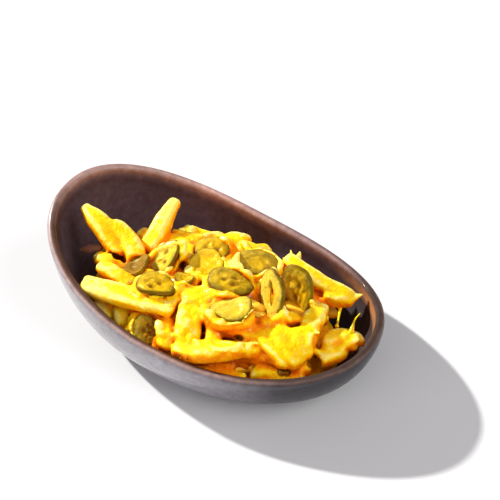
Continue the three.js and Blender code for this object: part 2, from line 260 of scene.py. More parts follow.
# ------------------------------------------------------------------ materials
def glaze_material():
    m, nt, b = material("glazed_stoneware")
    d = attribute(nt, "from_lip")  # mm from the top of the lip: outside +, inside -
    wob = maths(nt, "SUBTRACT", texture(nt, 55, 3), 0.5)
    d = maths(nt, "MULTIPLY_ADD", wob, 1.8, d)
    x = attribute(nt, "along")
    f = remap(nt, d, -22.0, 10.0, 0.0, 1.0)
    # the lines of the front ramp, its painted highlight among them, wander outward towards both ends
    away = maths(nt, "ABSOLUTE", maths(nt, "SUBTRACT", x, 0.1))
    f_front = maths(nt, "SUBTRACT", f, remap(nt, away, 0.0, 0.55, 0.0, 0.032))
    at = lambda mm: (mm + 22.0) / 32.0
    # the lip: lighter and pinker round the back, browner inside along the front, and along its top on both sides a
    # bright line that is a painted highlight
    back = ramp(
        nt,
        f,
        [
            (0.0, lin(85, 69, 75)),
            (at(-14.0), lin(83, 66, 71)),
            (at(-11.0), lin(80, 60, 66)),
            (at(-8.0), lin(100, 80, 82)),
            (at(-5.0), lin(142, 104, 92)),
            (at(-3.0), lin(166, 128, 116)),
            (at(-1.2), lin(182, 148, 138)),
            (at(0.4), lin(150, 118, 110)),
            (at(2.0), lin(112, 86, 82)),
            (1.0, lin(70, 60, 62)),
        ],
        "LINEAR",
    )
    front = ramp(
        nt,
        f_front,
        [
            (0.0, lin(85, 69, 75)),
            (at(-9.0), lin(80, 54, 46)),
            (at(-5.0), lin(84, 54, 36)),
            (at(-1.6), lin(86, 58, 44)),
            (at(-0.5), lin(104, 78, 68)),
            (at(0.4), lin(166, 140, 134)),
            (at(1.2), lin(170, 146, 142)),
            (at(2.0), lin(150, 130, 130)),
            (at(3.0), lin(140, 130, 134)),
            (1.0, lin(120, 116, 122)),
        ],
        "LINEAR",
    )
    # painted shade: the front of the lip darkened towards the low end, where it lies in the heap's shadow
    dim = ramp(
        nt,
        remap(nt, x, -1.0, 1.0, 0.0, 1.0),
        [
            (0.3, (1, 1, 1, 1)),
            (0.52, (0.88, 0.84, 0.78, 1)),
            (0.70, (0.68, 0.64, 0.64, 1)),
            (0.80, (0.42, 0.38, 0.37, 1)),
            (0.86, (0.31, 0.27, 0.25, 1)),
            (0.93, (0.30, 0.24, 0.20, 1)),
        ],
        "LINEAR",
    )
    front = mix(nt, 1.0, front, dim, "MULTIPLY")
    nearer = maths(nt, "MAXIMUM", remap(nt, attribute(nt, "across"), -0.45, 0.1, 1.0, 0.0), remap(nt, x, 0.6, 0.85, 0.0, 1.0))
    # painted shade: the lip and inside darkened towards the low end, where they lie in shade, and lightened a little
    # way in from the high end
    painted_shade_along = ramp(
        nt,
        remap(nt, x, -1.0, 1.0, 0.0, 1.0),
        [
            (0.15, (1.0, 1.0, 1.0, 1)),
            (0.30, (1.45, 1.38, 1.34, 1)),
            (0.42, (1.10, 1.08, 1.08, 1)),
            (0.50, (0.92, 0.94, 0.96, 1)),
            (0.60, (0.70, 0.73, 0.80, 1)),
            (0.74, (0.48, 0.44, 0.44, 1)),
            (0.86, (0.26, 0.21, 0.20, 1)),
        ],
        "LINEAR",
    )
    back = mix(nt, 1.0, back, painted_shade_along, "MULTIPLY")
    base = mix(nt, nearer, back, front)
    # the glaze broke to copper on the inside of the lip at the low end, and the band's brightness there is in part a
    # painted highlight
    band = maths(nt, "MULTIPLY", remap(nt, d, -12.0, -8.0, 0.0, 1.0), remap(nt, d, -4.6, -2.6, 1.0, 0.0))
    base = mix(nt, maths(nt, "MULTIPLY", band, remap(nt, x, 0.5, 0.85, 0.0, 0.85)), base, lin(168, 110, 58))
    # and grey outside, lightened as a painted reflection of the lit floor over the high end and middle, and darkened as
    # painted shade towards the low end
    outside_grey_painted_reflection = ramp(
        nt,
        remap(nt, x, -1.0, 1.0, 0.0, 1.0),
        [
            (0.18, lin(136, 130, 134)),
            (0.53, lin(150, 146, 154)),
            (0.65, lin(134, 130, 138)),
            (0.76, lin(106, 102, 110)),
            (0.835, lin(54, 51, 58)),
            (1.0, lin(42, 39, 45)),
        ],
        "LINEAR",
    )
    base = mix(nt, remap(nt, d, 2.2, 3.8, 0.0, 1.0), base, outside_grey_painted_reflection)
    mottled = mix(
        nt,
        remap(nt, texture(nt, 240, 6, 0.65), 0.35, 0.7, 0.0, 1.0),
        base,
        mix(nt, 1.0, base, (0.62, 0.58, 0.56, 1), "MULTIPLY"),
    )
    speckle = remap(nt, texture(nt, 1500, 2, 0.5), 0.62, 0.72, 0.0, 0.35)
    colour = mix(nt, speckle, mottled, lin(44, 32, 32))
    nt.links.new(colour, b.inputs["Base Color"])
    dull = maths(nt, "MULTIPLY", remap(nt, x, 0.35, 0.7, 0.0, 0.4), remap(nt, d, 1.0, 3.0, 1.0, 0.0))
    nt.links.new(
        maths(nt, "ADD", remap(nt, texture(nt, 130, 4), 0.3, 0.75, 0.3, 0.46), dull), b.inputs["Roughness"]
    )
    b.inputs["Specular IOR Level"].default_value = 0.3
    # the outside took more glaze than the inside
    outside = remap(nt, d, 2.6, 4.4, 0.05, 1.0)
    nt.links.new(
        maths(nt, "MULTIPLY", outside, remap(nt, x, -0.55, 0.55, 1.0, 0.22)), b.inputs["Coat Weight"]
    )
    b.inputs["Coat Roughness"].default_value = 0.08
    b.inputs["Coat IOR"].default_value = 1.9
    bump(nt, b, (texture(nt, 28, 2), 0.0007), (texture(nt, 420, 3), 0.00006))
    return m


def cheese_material():
    m, nt, b = material("melted_cheese")
    hollow = attribute(nt, "hollow")
    tone = attribute(nt, "tone")
    crevice = attribute(nt, "crevice")
    blotch = maths(nt, "SUBTRACT", texture(nt, 105, 4, 0.6, 0.4), 0.5)
    fine = maths(nt, "SUBTRACT", texture(nt, 420, 3, 0.6, 0.2), 0.5)
    # painted shade: the cheese is yellow on what faces up and turns darker orange down the sides, where shade falls
    up = attribute(nt, "up")
    side = remap(nt, up, 0.0, 0.7, 0.31, 0.0)
    # painted highlight on ridges that face up and painted shade in hollows, from how hemmed in each point is
    ridge = maths(nt, "MULTIPLY", maths(nt, "MINIMUM", hollow, 0.0), remap(nt, up, 0.1, 0.75, 0.1, 1.0))
    f = maths(nt, "MULTIPLY_ADD", maths(nt, "MAXIMUM", hollow, 0.0), 0.75, 0.26)
    f = maths(nt, "MULTIPLY_ADD", ridge, 0.75, f)
    f = maths(nt, "ADD", f, side)
    # deeper orange in the creases the soft union fills: partly cheese pooled there, partly painted shade
    f = maths(nt, "MULTIPLY_ADD", crevice, 0.07, f)
    f = maths(nt, "MULTIPLY_ADD", tone, 0.36, f)
    f = maths(nt, "MULTIPLY_ADD", blotch, 0.5, f)
    f = maths(nt, "MULTIPLY_ADD", fine, 0.32, f)
    colour = ramp(
        nt,
        f,
        [
            (0.0, (0.98, 0.73, 0.15, 1)),
            (0.07, (0.98, 0.63, 0.014, 1)),
            (0.19, (0.97, 0.59, 0.003, 1)),
            (0.36, (0.97, 0.48, 0.002, 1)),
            (0.48, (0.97, 0.34, 0.0015, 1)),
            (0.63, (0.95, 0.24, 0.001, 1)),
            (0.80, (0.72, 0.125, 0.001, 1)),
            (1.0, (0.44, 0.075, 0.001, 1)),
        ],
        "LINEAR",
    )
    # painted shade: darker down the hollows between the fries
    colour = mix(nt, maths(nt, "MULTIPLY", attribute(nt, "pit"), 0.85), colour, (0.15, 0.035, 0.004, 1))
    nt.links.new(colour, b.inputs["Base Color"])
    nt.links.new(
        remap(nt, texture(nt, 190, 3), 0.3, 0.7, 0.28, 0.46), b.inputs["Roughness"]
    )
    b.inputs["Subsurface Weight"].default_value = 0.45
    b.inputs["Subsurface Radius"].default_value = (1.0, 0.42, 0.03)
    b.inputs["Subsurface Scale"].default_value = 0.0045
    b.inputs["Specular IOR Level"].default_value = 0.4
    b.inputs["Specular Tint"].default_value = (1.0, 0.9, 0.08, 1)
    # oily patches where it lies flat
    oil = remap(nt, texture(nt, 165, 3, 0.55), 0.52, 0.62, 0.0, 0.9)
    flat = remap(nt, up, 0.45, 0.9, 0.0, 1.0)
    nt.links.new(maths(nt, "MULTIPLY", oil, flat), b.inputs["Coat Weight"])
    b.inputs["Coat Roughness"].default_value = 0.19
    bump(
        nt,
        b,
        (texture(nt, 230, 3, 0.5, 0.4), 0.0009),
        (texture(nt, 520, 3, 0.6, 0.3), 0.0006),
        (texture(nt, 1100, 3), 0.00015),
    )
    return m


def fry_material():
    m, nt, b = material("fried_potato")
    brown = attribute(nt, "brown")
    tone = attribute(nt, "tone")
    n = maths(nt, "SUBTRACT", texture(nt, 150, 5, 0.6), 0.5)
    blister = remap(nt, texture(nt, 620, 4, 0.6), 0.58, 0.76, 0.0, 0.22)
    # painted shade: darker orange on what faces sideways and down
    side = remap(nt, attribute(nt, "up"), -0.1, 0.75, 0.34, 0.0)
    f = maths(nt, "MULTIPLY_ADD", brown, 0.6, 0.04)
    f = maths(nt, "ADD", f, side)
    f = maths(nt, "MULTIPLY_ADD", tone, 0.3, f)
    f = maths(nt, "MULTIPLY_ADD", n, 0.7, f)
    f = maths(nt, "ADD", blister, f)
    colour = ramp(
        nt,
        f,
        [
            (0.0, (0.98, 0.76, 0.20, 1)),
            (0.2, (0.97, 0.61, 0.045, 1)),
            (0.42, (0.96, 0.45, 0.008, 1)),
            (0.65, (0.92, 0.33, 0.006, 1)),
            (0.85, (0.33, 0.10, 0.015, 1)),
            (1.0, (0.24, 0.10, 0.06, 1)),
        ],
        "LINEAR",
    )
    # painted shade: darker down the hollows between the fries
    colour = mix(nt, maths(nt, "MULTIPLY", attribute(nt, "pit"), 0.85), colour, (0.30, 0.075, 0.004, 1))
    nt.links.new(colour, b.inputs["Base Color"])
    nt.links.new(
        remap(nt, texture(nt, 300, 3), 0.3, 0.7, 0.36, 0.6), b.inputs["Roughness"]
    )
    b.inputs["Subsurface Weight"].default_value = 0.15
    b.inputs["Subsurface Radius"].default_value = (1.0, 0.5, 0.12)
    b.inputs["Subsurface Scale"].default_value = 0.002
    b.inputs["Specular IOR Level"].default_value = 0.35
    b.inputs["Specular Tint"].default_value = (1.0, 0.9, 0.2, 1)
    bump(nt, b, (texture(nt, 330, 5, 0.6), 0.0005), (texture(nt, 1500, 3), 0.0001))
    return m


def chilli_material():
    m, nt, b = material("pickled_chilli")
    skin = attribute(nt, "skin")
    pale = attribute(nt, "pale")
    deep = attribute(nt, "deep")
    olive = attribute(nt, "olive")
    n = remap(nt, texture(nt, 170, 4, 0.6, 0.5), 0.32, 0.68, 0.0, 1.0)
    fine = remap(nt, texture(nt, 620, 4, 0.65), 0.35, 0.65, 0.0, 1.0)
    gold = mix(nt, n, (0.70, 0.43, 0.004, 1), (0.47, 0.25, 0.003, 1))
    green = mix(nt, n, (0.34, 0.235, 0.008, 1), (0.15, 0.09, 0.004, 1))
    # painted shade and light: every slice darker towards the same side, away from the key light, and lighter towards
    # the other
    shade = attribute(nt, "shade")
    amount = maths(nt, "MULTIPLY_ADD", maths(nt, "SUBTRACT", n, 0.5), 0.8, olive)
    amount = maths(nt, "MULTIPLY_ADD", shade, 0.38, amount)
    amount = maths(nt, "ADD", amount, 0.0, clamp=True)
    flesh = mix(nt, amount, gold, green)
    lighter = maths(nt, "MULTIPLY_ADD", shade, -0.30, pale)
    lighter = maths(nt, "MULTIPLY", lighter, remap(nt, fine, 0.0, 1.0, 0.3, 1.0), clamp=True)
    flesh = mix(nt, lighter, flesh, (0.72, 0.58, 0.08, 1))
    # painted shade down the hollows of the middle, and a darker whole for a dull slice
    flesh = mix(nt, maths(nt, "MULTIPLY", deep, 0.85), flesh, (0.16, 0.055, 0.006, 1))
    peel = mix(nt, n, (0.24, 0.145, 0.004, 1), (0.10, 0.05, 0.003, 1))
    nt.links.new(mix(nt, skin, flesh, peel), b.inputs["Base Color"])
    nt.links.new(
        remap(nt, texture(nt, 260, 3), 0.3, 0.7, 0.24, 0.42), b.inputs["Roughness"]
    )
    b.inputs["Subsurface Weight"].default_value = 0.2
    b.inputs["Subsurface Radius"].default_value = (0.9, 0.6, 0.1)
    b.inputs["Subsurface Scale"].default_value = 0.002
    b.inputs["Specular IOR Level"].default_value = 0.12
    b.inputs["Specular Tint"].default_value = (1.0, 0.9, 0.1, 1)
    wet = remap(nt, texture(nt, 210, 2, 0.5), 0.55, 0.66, 0.0, 0.35)
    nt.links.new(
        maths(nt, "MULTIPLY", wet, remap(nt, deep, 0.45, 0.8, 1.0, 0.0)), b.inputs["Coat Weight"]
    )
    b.inputs["Coat Roughness"].default_value = 0.2
    bump(nt, b, (texture(nt, 300, 3, 0.55), 0.0006), (texture(nt, 1400, 3), 0.0001))
    return m


def core_material():
    m, nt, b = material("packed_fries")
    # fried colours, but kept mostly dark as painted shade where the core shows through the gaps
    n = texture(nt, 120, 5, 0.6)
    nt.links.new(
        ramp(
            nt,
            n,
            [(0.3, (0.10, 0.025, 0.004, 1)), (0.5, (0.35, 0.10, 0.006, 1)), (0.72, (0.7, 0.28, 0.01, 1))],
        ),
        b.inputs["Base Color"],
    )
    nt.links.new(remap(nt, n, 0.3, 0.7, 0.35, 0.6), b.inputs["Roughness"])
    bump(nt, b, (texture(nt, 160, 5), 0.0025))
    return m


def floor_material():
    m, nt, b = material("white_floor")
    n = texture(nt, 9, 2)
    nt.links.new(
        mix(nt, n, (0.565, 0.565, 0.569, 1), (0.577, 0.577, 0.581, 1)), b.inputs["Base Color"]
    )
    b.inputs["Roughness"].default_value = 0.85
    b.inputs["Specular IOR Level"].default_value = 0.2
    return m


# ------------------------------------------------------------------ bowl
def make_bowl():
    segments, steps = (192, 26)
    t = np.linspace(0, 2 * math.pi, segments, endpoint=False)
    rows = []
    for k in range(1, 9):  # the flat foot, out to its edge
        rows.append(
            np.stack([FOOT_A * k / 9 * np.cos(t), FOOT_B * k / 9 * np.sin(t), 0 * t], -1)
        )
    for i in range(steps + 1):
        rows.append(wall(t, i / steps, FOOT_A, FOOT_B, 0.0, 0.0))
    lip_rows = 10
    for i in range(1, lip_rows):
        a = i / lip_rows * math.pi
        rows.append(rim(t, LIP / 2 * (1 - math.cos(a)), LIP / 2 * (1 - math.sin(a))))
    top = len(rows) - lip_rows // 2
    for i in range(steps, -1, -1):
        rows.append(inner_wall(t, i / steps))
    for k in range(8, 0, -1):
        rows.append(
            np.stack(
                [
                    (FOOT_A - FLOOR_INSET) * k / 9 * np.cos(t),
                    (FOOT_B - FLOOR_INSET) * k / 9 * np.sin(t),
                    FLOOR + 0 * t,
                ],
                -1,
            )
        )
    p = np.array(rows)
    # a hand-thrown wall isn't perfectly even
    q = p.copy()
    ang = np.arctan2(p[..., 1], p[..., 0])
    rise = np.clip(p[..., 2] / 50, 0, 1)
    ripple = 0.28 * np.sin(3 * ang + 0.6) + 0.18 * np.sin(5 * ang + 2.1) - 0.45
    n = np.stack([np.cos(ang), np.sin(ang), 0 * ang], -1)
    q += n * (ripple * rise)[..., None]
    seg = np.linalg.norm(np.diff(p, axis=0), axis=-1)
    length = np.concatenate([np.zeros((1, segments)), np.cumsum(seg, 0)])
    from_lip = length[top] - length  # + outside, - inside
    count = len(rows)
    co = q.reshape(-1, 3)
    faces = grid_faces(count, segments)
    co = np.concatenate([co, [[0, 0, 0], [0, 0, FLOOR]]])
    c0, c1 = count * segments, count * segments + 1
    last = (count - 1) * segments
    faces += [[c0, (j + 1) % segments, j] for j in range(segments)]
    faces += [[c1, last + j, last + (j + 1) % segments] for j in range(segments)]
    lip = np.concatenate([from_lip.reshape(-1), [80, -80]])
    return new_object(
        "glazed_bowl",
        co,
        faces,
        glaze_material(),
        True,
        {"from_lip": lip, "along": co[:, 0] / 100, "across": co[:, 1] / 66},
    )


# ------------------------------------------------------------------ the fries
# Middle of the chord x, y, z; length; heading and pitch in degrees; how far the middle bows
# sideways and upwards; width and thickness; width factors of its two ends; tone 0..1 of how
# orange its cheese is, set high on the fries lying low as painted shade and lowered on a few such
# as c as painted highlight; and how thick its cheese lies, in mm over the usual.
FRIES = {
    "a1": (-71.9, -9.8, 52.3, 36.0, -15, -24, 0, 0, 13.0, 9.5, 0.34, 0.9, 0.0, 0.2),
    "a2": (-56.3, -14.6, 47.2, 38.5, -41, -19, 6.7, 0.8, 12.0, 10, 0.7, 0.9, -0.1, 0.1),
    "b1": (-76.0, -19.0, 42.5, 16, 22, 16, -1, 0, 5.5, 4.5, 0.4, 0.9, 1.3, -2.5),
    "b2": (-54.9, -25.2, 42.0, 31.3, -12, -2, 0.5, 0.4, 10, 9.0, 0.7, 0.9, 0.35, 0.0),
    "b3": (-54.6, -25.4, 35.8, 27.4, -33, 0, -0.2, 0, 10, 10, 0.8, 0.9, 0.1, 0.0),
    "b4": (-48.6, -32.2, 45.3, 25.5, -10, -2, 0, 1.0, 9, 8, 0.7, 0.8, -0.15, 0.1),
    "b5": (-59.5, -23.6, 45.0, 11.0, -10, 0, 0, 1.0, 7.5, 7, 0.6, 0.8, 0.5, 0.0),
    "c": (-31.1, -43.9, 47.7, 57.4, 10, 1, 0.3, 0.5, 13.8, 8.4, 0.8, 0.85, -0.45, -0.5),
    "c2": (-44.9, -49.0, 35.0, 13.5, -13, -28, 1.2, -0.2, 8.5, 8, 0.8, 0.8, -0.2, 0.0),
    "c4": (-33.9, -47.9, 34.5, 13, -52, -38, 0.6, 0.7, 9, 8, 0.8, 0.8, 0.0, 0.0),
    "c5": (-22.4, -48.0, 35.5, 16.8, 50, 32, -0.7, 0.7, 8, 7, 0.8, 0.8, 0.0, 0.0),
    "d": (-46.2, 14.9, 47.5, 37, -90, -18, -0.8, 0, 12, 10, 0.52, 0.95, -0.25, 0.0),
    "e1": (-31.3, 19.2, 38.6, 22.3, 8, 10, -2.3, 1.8, 11, 10, 0.8, 0.8, 0.35, 0.2),
    "e1b": (-35.0, 7.1, 41.0, 27.0, 9, 13, 3.1, 0.3, 10, 9, 0.8, 0.8, 0.2, 0.2),
    "e2": (-6.1, 28.6, 41.0, 25.2, 34, 0, -2.0, 2.0, 8.5, 8, 0.8, 0.6, 0.0, 0.1),
    "e3": (6.2, 25.2, 40.0, 17.9, 25, 0, 0.5, 2.0, 9, 8, 0.8, 0.7, 0.2, 0.1),
    "f": (51.7, 29.5, 39.0, 47.1, -1, -12, -2.9, 2.2, 10.5, 10, 0.75, 0.8, 0.0, 0.1),
    "f2": (66.7, 25.7, 35.5, 19.5, 20, -15, -1.2, 0.5, 11, 10, 0.8, 0.6, 0.1, 0.1),
    "f3": (53.0, 22.0, 32.5, 21.1, 2, -8, -0.4, 0.5, 10, 9, 0.8, 0.8, 1.0, 0.0),
    "fs": (75.0, 29.5, 35.0, 10, 51, 14, 0, 0, 3.6, 3.2, 0.8, 0.4, 0.2, -0.3),
    "g": (66.6, -5.4, 40.0, 32.4, -82, -7, -1.4, 4.0, 12, 10, 0.7, 0.8, 0.0, 0.2),
    "h1": (82.9, -1.8, 34.5, 23.9, -131, 7, -1.9, 0.6, 8.5, 8, 0.6, 0.8, 0.1, 0.2),
    "h2": (81.5, -11.8, 31.5, 16.9, -122, 3, 0.1, 1.4, 10, 9, 0.7, 0.8, 0.1, 0.2),
    "h3": (80.7, -3.7, 29.5, 20.2, -126, 3, 0.2, 0.6, 10, 9, 0.8, 0.8, 0.6, 0.0),
    "i1": (54.2, -31.1, 40.0, 28.5, -13, -15, 0, 2.0, 14, 9, 0.7, 0.75, 0.0, 0.1),
    "i2": (59.9, -26.2, 40.5, 27.3, -22, -17, 0, 2.2, 14, 9, 0.75, 0.75, -0.05, 0.2),
    "i3": (66.4, -20.3, 40.8, 19.9, -39, -19, 0, 1.8, 11, 9, 0.8, 0.7, 0.2, 0.1),
    "j": (56.5, -41.0, 30.0, 19.0, 31, 2, 0.9, 1.0, 6.5, 6, 0.8, 0.8, 0.2, 0.1),
    "k": (27.6, -48.1, 39.6, 47.3, 29, 3, 0.1, 1.7, 10.5, 9.4, 0.8, 0.65, 0.0, 0.2),
    "l1": (21.0, -37.9, 44.0, 17.4, -63, -13, 0.6, 0, 8, 8, 0.9, 0.9, 0.0, 0.1),
    "l2": (36.5, -32.8, 43.5, 24.7, 5, -9, 1.7, 0.7, 10.5, 9, 0.8, 0.8, 0.8, 0.2),
    "g1": (-2.0, -50.2, 38.5, 17.7, -69, -13, 0.3, 0.3, 9.5, 9, 0.65, 0.75, 0.2, 0.1),
    "g2": (7.2, -40.2, 43.8, 27.7, -66, -19, 0.3, 1.3, 13, 10, 0.8, 0.85, -0.35, 0.2),
    "l3": (27.6, -31.0, 47.8, 24.8, 21, -7, 0.0, 1.5, 11, 10, 0.8, 0.7, 0.55, 0.1),
    "l4": (14.6, -31.8, 47.5, 11.1, -23, -21, 0, 0.5, 9, 9, 0.8, 0.8, 0.3, 0.1),
    "n": (1.7, -26.1, 47.5, 20.7, 6, 3, 0.2, 0.5, 12, 10, 0.8, 0.8, 0.0, 0.4),
    "m": (-20.8, 1.9, 46.0, 18.3, -61, 3, 0, 0.5, 7, 7, 0.8, 0.8, 0.0, 0.3),
    "o": (31.3, -13.8, 47.0, 16.4, 3, -7, 0.3, 0.9, 9, 8, 0.8, 0.8, 0.6, 0.2),
    "q": (49.6, -14.6, 44.6, 24.3, 45, -1, 0, 0.8, 9, 9, 0.7, 0.7, 0.7, 0.1),
    "r": (31.8, -11.3, 45.0, 27.1, -41, -4, -1.1, -0.3, 11, 9, 0.8, 0.8, 0.3, 0.0),
    "u1": (26, -26, 46.5, 25, 24, -3, 0, 0.5, 10, 8, 0.8, 0.8, 0.3, 0.0),
    "u2": (22, 12, 43.5, 27, -35, 2, 0, 1, 10, 9, 0.8, 0.8, 0.3, 0.0),
    "u3": (-40, -17, 40.5, 27, 62, 3, 0, 0, 10, 9, 0.8, 0.8, 0.2, 0.0),
    "t1": (-9.7, -40.4, 35.5, 41.0, -13, -10, -0.6, 1.6, 10, 10, 0.8, 0.8, 1.0, 0.0),
    "t2": (26.1, -34.1, 33.0, 40.1, -13, -14, -2.2, 1.5, 10, 10, 0.8, 0.8, 1.0, 0.0),
    "t3": (-15.4, -14.8, 42.5, 38.9, 5, 3, -2.1, -0.1, 10, 10, 0.8, 0.8, 0.25, 0.1),
    "t4": (13.0, 10.9, 41.5, 38.5, 5, 0, -3.0, 1.0, 10, 10, 0.8, 0.8, 0.3, 0.1),
    "t5": (55.7, 1.2, 37.0, 28.9, -21, -4, -0.8, 1.0, 10, 10, 0.8, 0.8, 0.7, 0.0),
    "t6": (40.0, -21.8, 38.0, 39.8, -8, -12, -0.6, 2.2, 10, 10, 0.8, 0.8, 0.8, 0.0),
    "t7": (-40.0, -36.3, 34.0, 47.5, -19, -5, -0.5, 1.1, 10, 10, 0.8, 0.8, 0.6, 0.0),
    "t8": (19.1, -41.6, 30.5, 38.7, -5, -10, -4.0, -0.2, 10, 10, 0.8, 0.8, 1.0, 0.0),
    "t9": (64.1, -27.4, 29.5, 24.5, 25, -2, -2.4, -0.5, 9, 9, 0.8, 0.8, 0.9, 0.0),
    "t10": (11.4, -31.4, 36.5, 43.1, -17, -9, -0.3, 0.6, 9, 9, 0.8, 0.8, 0.5, 0.0),
    "t11": (50.6, -35.2, 34.8, 27.3, 18, -7, 0, 1.0, 10, 10, 0.8, 0.8, 1.0, 0.0),
    "v1": (-56, -39, 28, 27, -26, 4, 0, 1, 10, 9.5, 0.8, 0.8, 0.8, 0.0),
    "v2": (-10, -53, 28, 36, -4, 3, 0, 1, 10, 9.5, 0.8, 0.8, 1.0, 0.0),
    "v3": (26, -52, 26, 42, 7, 2, 0, 1, 10, 9.5, 0.8, 0.8, 1.0, 0.0),
    "v4": (62, -38, 26, 30, 28, 4, 0, 1, 10, 9.5, 0.8, 0.8, 0.8, 0.0),
    "w1": (-40, 6, 36, 46, -14, -4, 0, 1, 10.5, 9.6, 0.8, 0.8, 0.3, 0.0),
    "w2": (-9, 22, 35, 48, 13, 3, 1, 1, 10.5, 9.6, 0.8, 0.8, 0.3, 0.0),
    "w3": (25, 21, 35, 46, -7, 0, 0, 1, 10.5, 9.6, 0.8, 0.8, 0.3, 0.0),
    "w4": (47, 17, 32, 44, -22, -8, 0, 1, 10.5, 9.6, 0.8, 0.8, 0.4, 0.0),
    "w5": (-58, -2, 34, 42, 28, 6, 0, 1, 10.5, 9.6, 0.8, 0.8, 0.3, 0.0),
    "w6": (-53, 9, 31, 24, -66, -12, 1, 1, 10.5, 9.6, 0.8, 0.8, 0.2, 0.0),
    "w7": (-22, 35, 25, 44, 4, -6, 0, 1, 10.5, 9.6, 0.8, 0.8, 0.1, -0.3),
    "w8": (24, 36, 23, 42, -12, 6, 0, 1, 10.5, 9.6, 0.8, 0.8, 0.1, -0.3),
    "w9": (4, 33, 30, 30, 58, -14, 0, 1, 10.5, 9.6, 0.8, 0.8, 0.1, -0.2),
    "w10": (44, 31, 27, 32, -40, 10, 0, 1, 10.5, 9.6, 0.8, 0.8, 0.1, -0.2),
}

# Slices of chilli: centre x, y, z; heading, tilt and spin in degrees; long and short half-widths,
# thickness; share of the open middle; number of ribs across it; paleness.
SLICES = {
    "chilli_slice_01": (-40.2, -20.9, 48.0, -165, 30, -143, 9.2, 7.8, 4.2, 0.5, 0, 0.0),
    "chilli_slice_02": (-27.2, -10.3, 52.5, -133, 39, -157, 11.8, 9.5, 4.4, 0.55, 2, 0.6),
    "chilli_slice_03": (-19.1, -33.2, 54.5, 57, 10, -36, 12.0, 8.8, 4.4, 0.5, 2, 0.0),
    "chilli_slice_04": (-3.9, -3.2, 52.8, -110, 14, 130, 11.0, 10.2, 4.4, 0.62, 0, 0.0),
    "chilli_slice_05": (-9.9, 12.0, 47.5, -12, 9, 46, 10.8, 10.0, 4.2, 0.55, 2, 0.1),
    "chilli_slice_06": (19.9, 13.1, 51.0, 29, 6, -5, 13.0, 10.6, 4.4, 0.5, 0, 0.25),
    "chilli_slice_07": (16.0, -10.6, 54.6, 8, 12, 14, 13.4, 9.8, 4.4, 0.6, 3, 0.1),
    "chilli_slice_08": (26.8, -27.0, 54.0, 174, 7, -138, 12.6, 9.3, 4.4, 0.5, 0, 0.8),
    "chilli_slice_09": (40.4, -6.1, 53.5, -124, 63, -139, 15.2, 10.3, 4.4, 0.45, 0, 0.55),
    "chilli_slice_10": (49.9, 7.3, 49.0, -100, 74, -161, 16.6, 10.8, 4.4, 0.55, 2, 0.1),
    "chilli_slice_11": (-14.8, -51.2, 36.8, -20, 33, 165, 9.6, 7.6, 4.0, 0.5, 3, 0.25),
    "chilli_slice_12": (-9.0, -19.8, 53.0, 29, 6, 1, 5.6, 4.6, 3.4, 0.4, 0, 0.0),
}


# How olive the flesh of each slice is, against golden; the share of an open slot in it; how dull it is.
LOOKS = {
    "chilli_slice_01": (1.3, 0.0, 0.75),
    "chilli_slice_02": (0.45, 0.0, 0.0),
    "chilli_slice_03": (0.15, 0.0, 0.0),
    "chilli_slice_04": (-0.35, 0.0, 0.0),
    "chilli_slice_05": (0.25, 0.0, 0.0),
    "chilli_slice_06": (0.7, 0.0, 0.3),
    "chilli_slice_07": (0.5, 0.0, 0.2),
    "chilli_slice_08": (0.25, 0.0, 0.0),
    "chilli_slice_09": (0.38, 0.17, 0.12),
    "chilli_slice_10": (0.35, 0.0, 0.0),
    "chilli_slice_11": (0.85, 0.0, 0.15),
    "chilli_slice_12": (0.3, 0.0, 0.0),
}


FIELD_LOW, FIELD_HIGH = np.array([-92.0, -63.0, 14.0]), np.array([96.0, 50.0, 66.0])
BEND, BEND_SCALE = 1.5, 15.0


def noise_at(p, scale, seed):
    """The noise of coarse_noise over the cheese's grid, at any points."""
    small = [int(math.ceil(n / scale)) + 4 for n in FIELD_HIGH - FIELD_LOW]
    g = np.random.default_rng(seed).uniform(-1, 1, small)
    x = (p - FIELD_LOW) / scale + 1
    x = np.clip(x, 1.0, np.array(small) - 2.01)
    i = np.floor(x).astype(int)
    f = x - i
    w = [
        (1 - f) ** 3 / 6,
        (3 * f**3 - 6 * f**2 + 4) / 6,
        (-3 * f**3 + 3 * f**2 + 3 * f + 1) / 6,
        f**3 / 6,
    ]
    out = np.zeros(len(p))
    for a in range(4):
        for b in range(4):
            for c in range(4):
                out += w[a][:, 0] * w[b][:, 1] * w[c][:, 2] * g[i[:, 0] - 1 + a, i[:, 1] - 1 + b, i[:, 2] - 1 + c]
    return out * 2.2


def bent(p):
    """Where the bend of the cheese takes points of a straight fry."""
    return p - BEND * np.stack([noise_at(p, BEND_SCALE, 31 + i) for i in range(3)], -1)


